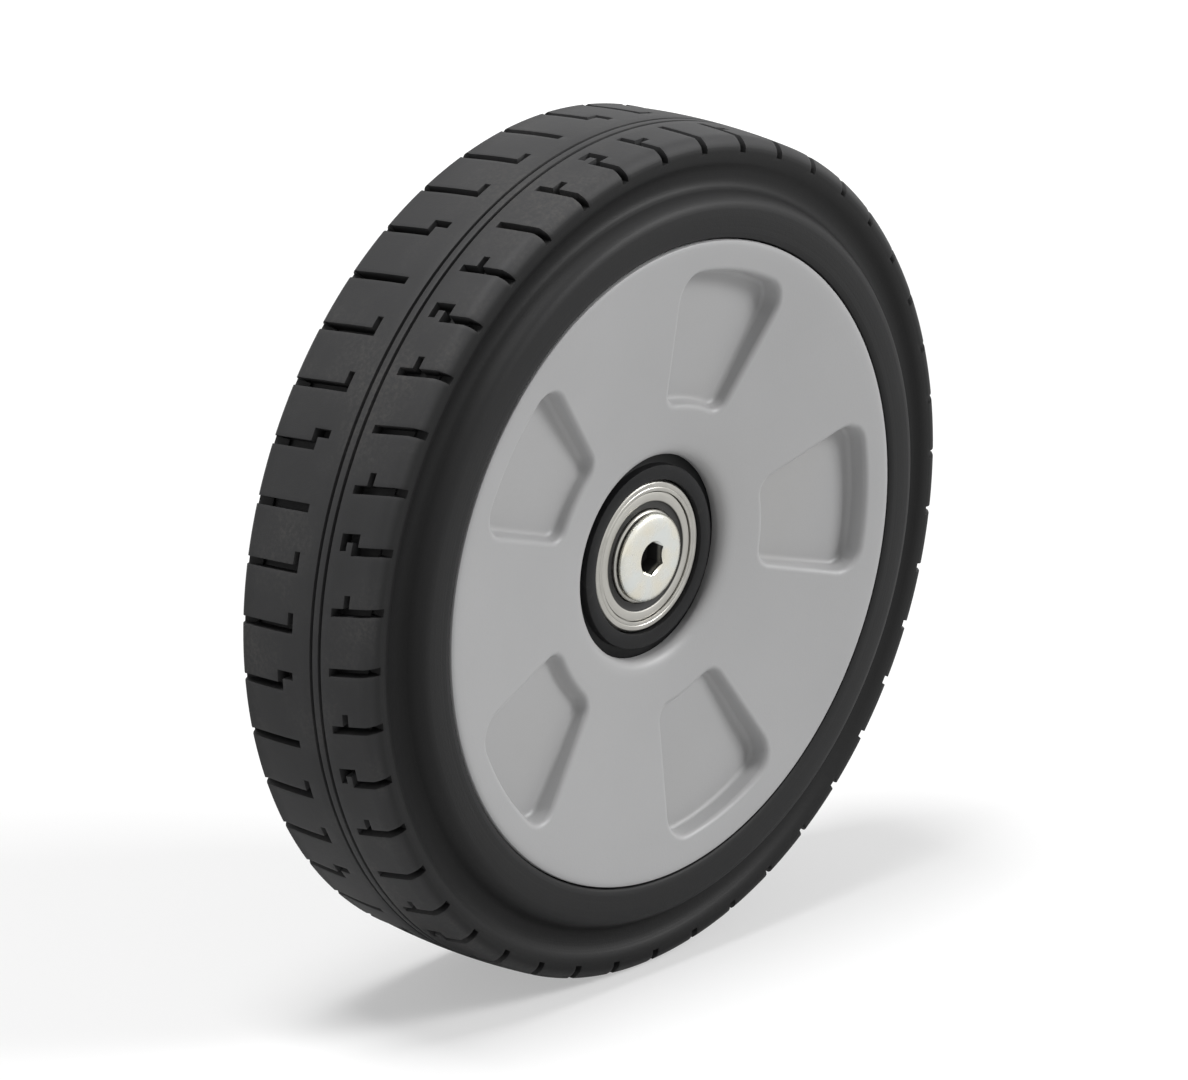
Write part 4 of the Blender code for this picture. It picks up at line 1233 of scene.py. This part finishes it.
class WHEEL_OT_stage(bpy.types.Operator):
    """Set up the floor, the lamps, the surroundings and the camera"""

    bl_idname = "wheel.stage"
    bl_label = "Stage"

    # Name, place, size and power of each lamp
    lamps = (
        ("key_lamp", (2.3, -2.4, 1.9), 1.3, 100.0),
        ("top_lamp", (-0.7, 0.2, 3.0), 1.2, 74.0),
    )

    # The camera sees the floor with a share of this glow added, so that it comes out
    # white but keeps the shadow. The share grows from near to far from the wheel.
    glow = 4.1
    near_share = 0.1
    far_share = 0.3
    near = 0.45
    far = 1.4

    # Brightness of the surroundings: as plain light, and as they are seen
    plain_light = 0.2
    seen_light = 1.0

    def execute(self, context):
        """Place everything about the middle of the wheel."""
        sizes = context.scene.wheel_stage
        self.floor(sizes)
        self.surroundings(context)
        for lamp in self.lamps:
            self.lamp(*lamp)
        self.camera(context, sizes)
        context.scene.view_settings.view_transform = "Standard"
        return {"FINISHED"}

    def floor(self, sizes):
        """A plain pale floor that keeps the wheel's shadow."""
        floor = begin(
            "studio_floor", bpy.ops.mesh.primitive_grid_add, x_subdivisions=4, y_subdivisions=4,
            size=14.0, location=(0.0, 0.0, TYRE_LOW.z),
        )
        let_go()
        finish = Finish("floor_finish", tuple(sizes.floor_colour), 0.85)
        lit = finish.node("ShaderNodeEmission", {}, {"Color": WHITE, "Strength": self.glow})
        seen = finish.node("ShaderNodeLightPath").outputs["Is Camera Ray"]
        distance = (finish.right * finish.right + finish.along * finish.along).root()
        share = self.near_share + distance.fade(self.near, self.far) * self.far_share
        share = Reading(finish, seen) * share
        mix = finish.node("ShaderNodeMixShader", {}, {0: share})
        finish.tree.links.new(finish.shader.outputs["BSDF"], mix.inputs[1])
        finish.tree.links.new(lit.outputs["Emission"], mix.inputs[2])
        output = finish.tree.nodes["Material Output"]
        finish.tree.links.new(mix.outputs["Shader"], output.inputs["Surface"])
        paint(floor, finish.material)

    def surroundings(self, context):
        """White all round for the camera and in reflections, plain light elsewhere."""
        world = bpy.data.worlds.new("studio_world")
        world.use_nodes = True
        tree = world.node_tree
        background = tree.nodes["Background"]
        background.inputs["Color"].default_value = WHITE
        path = tree.nodes.new("ShaderNodeLightPath")
        shown = path.outputs["Is Camera Ray"]
        for ray in ("Is Glossy Ray", "Is Transmission Ray"):
            most = tree.nodes.new("ShaderNodeMath")
            most.operation = "MAXIMUM"
            tree.links.new(shown, most.inputs[0])
            tree.links.new(path.outputs[ray], most.inputs[1])
            shown = most.outputs[0]
        level = tree.nodes.new("ShaderNodeMapRange")
        level.inputs["To Min"].default_value = self.plain_light
        level.inputs["To Max"].default_value = self.seen_light
        tree.links.new(shown, level.inputs["Value"])
        tree.links.new(level.outputs["Result"], background.inputs["Strength"])
        context.scene.world = world

    def lamp(self, name, place, size, power):
        """A soft square lamp aimed at the wheel."""
        let_go()
        aim = (-Vector(place)).to_track_quat("-Z", "Y").to_euler()
        bpy.ops.object.light_add(type="AREA", location=place, rotation=aim)
        lamp = bpy.context.object
        lamp.name = name
        lamp.data.size = size
        lamp.data.energy = power

    def camera(self, context, sizes):
        """The photograph's direction and distance, with a longer lens."""
        turn, rise = sizes.azimuth, sizes.elevation
        level = math.cos(rise)
        back = Vector((math.sin(turn) * level, -math.cos(turn) * level, math.sin(rise)))
        look = (-back).to_track_quat("-Z", "Y") @ Quaternion((0.0, 0.0, 1.0), sizes.roll)
        let_go()
        bpy.ops.object.camera_add(location=back * sizes.distance, rotation=look.to_euler())
        camera = bpy.context.object
        camera.name = "photo_camera"
        camera.data.lens = sizes.lens
        camera.data.sensor_width = 36.0
        camera.data.clip_end = 60.0
        context.scene.camera = camera


class WHEEL_PT_panel(bpy.types.Panel):
    """Lists the steps that build the wheel"""

    bl_idname = "WHEEL_PT_panel"
    bl_label = "Mower Wheel"
    bl_space_type = "VIEW_3D"
    bl_region_type = "UI"
    bl_category = "Mower Wheel"

    def draw(self, context):
        """Show each group of sizes with its step."""
        for step, group in STEPS:
            box = self.layout.box()
            box.operator(step)
            sizes = getattr(context.scene, group)
            for name in sizes.bl_rna.properties.keys():
                if name not in ("rna_type", "name"):
                    box.prop(sizes, name)


STEPS = (
    ("wheel.stage", "wheel_stage"),
    ("wheel.tyre", "wheel_tyre"),
    ("wheel.cover", "wheel_cover"),
    ("wheel.rim", "wheel_rim"),
    ("wheel.bearings", "wheel_axle"),
    ("wheel.axle", "wheel_axle"),
)

SIZE_GROUPS = (
    ("wheel_tyre", TyreSizes),
    ("wheel_cover", CoverSizes),
    ("wheel_rim", RimSizes),
    ("wheel_axle", AxleSizes),
    ("wheel_stage", StageSizes),
)

CLASSES = (
    TyreSizes,
    CoverSizes,
    RimSizes,
    AxleSizes,
    StageSizes,
    WHEEL_OT_tyre,
    WHEEL_OT_cover,
    WHEEL_OT_rim,
    WHEEL_OT_bearings,
    WHEEL_OT_axle,
    WHEEL_OT_stage,
    WHEEL_PT_panel,
)


def register():
    """Register the classes and hang the sizes on the scene."""
    for cls in CLASSES:
        bpy.utils.register_class(cls)
    for name, cls in SIZE_GROUPS:
        setattr(bpy.types.Scene, name, bpy.props.PointerProperty(type=cls))


def unregister():
    """Take the sizes off the scene and unregister the classes."""
    for name, _ in SIZE_GROUPS:
        delattr(bpy.types.Scene, name)
    for cls in reversed(CLASSES):
        bpy.utils.unregister_class(cls)


def main():
    """Register the classes and run every step in order."""
    register()
    for step, _ in STEPS:
        group, name = step.split(".")
        getattr(getattr(bpy.ops, group), name)()


if __name__ == "__main__":
    main()
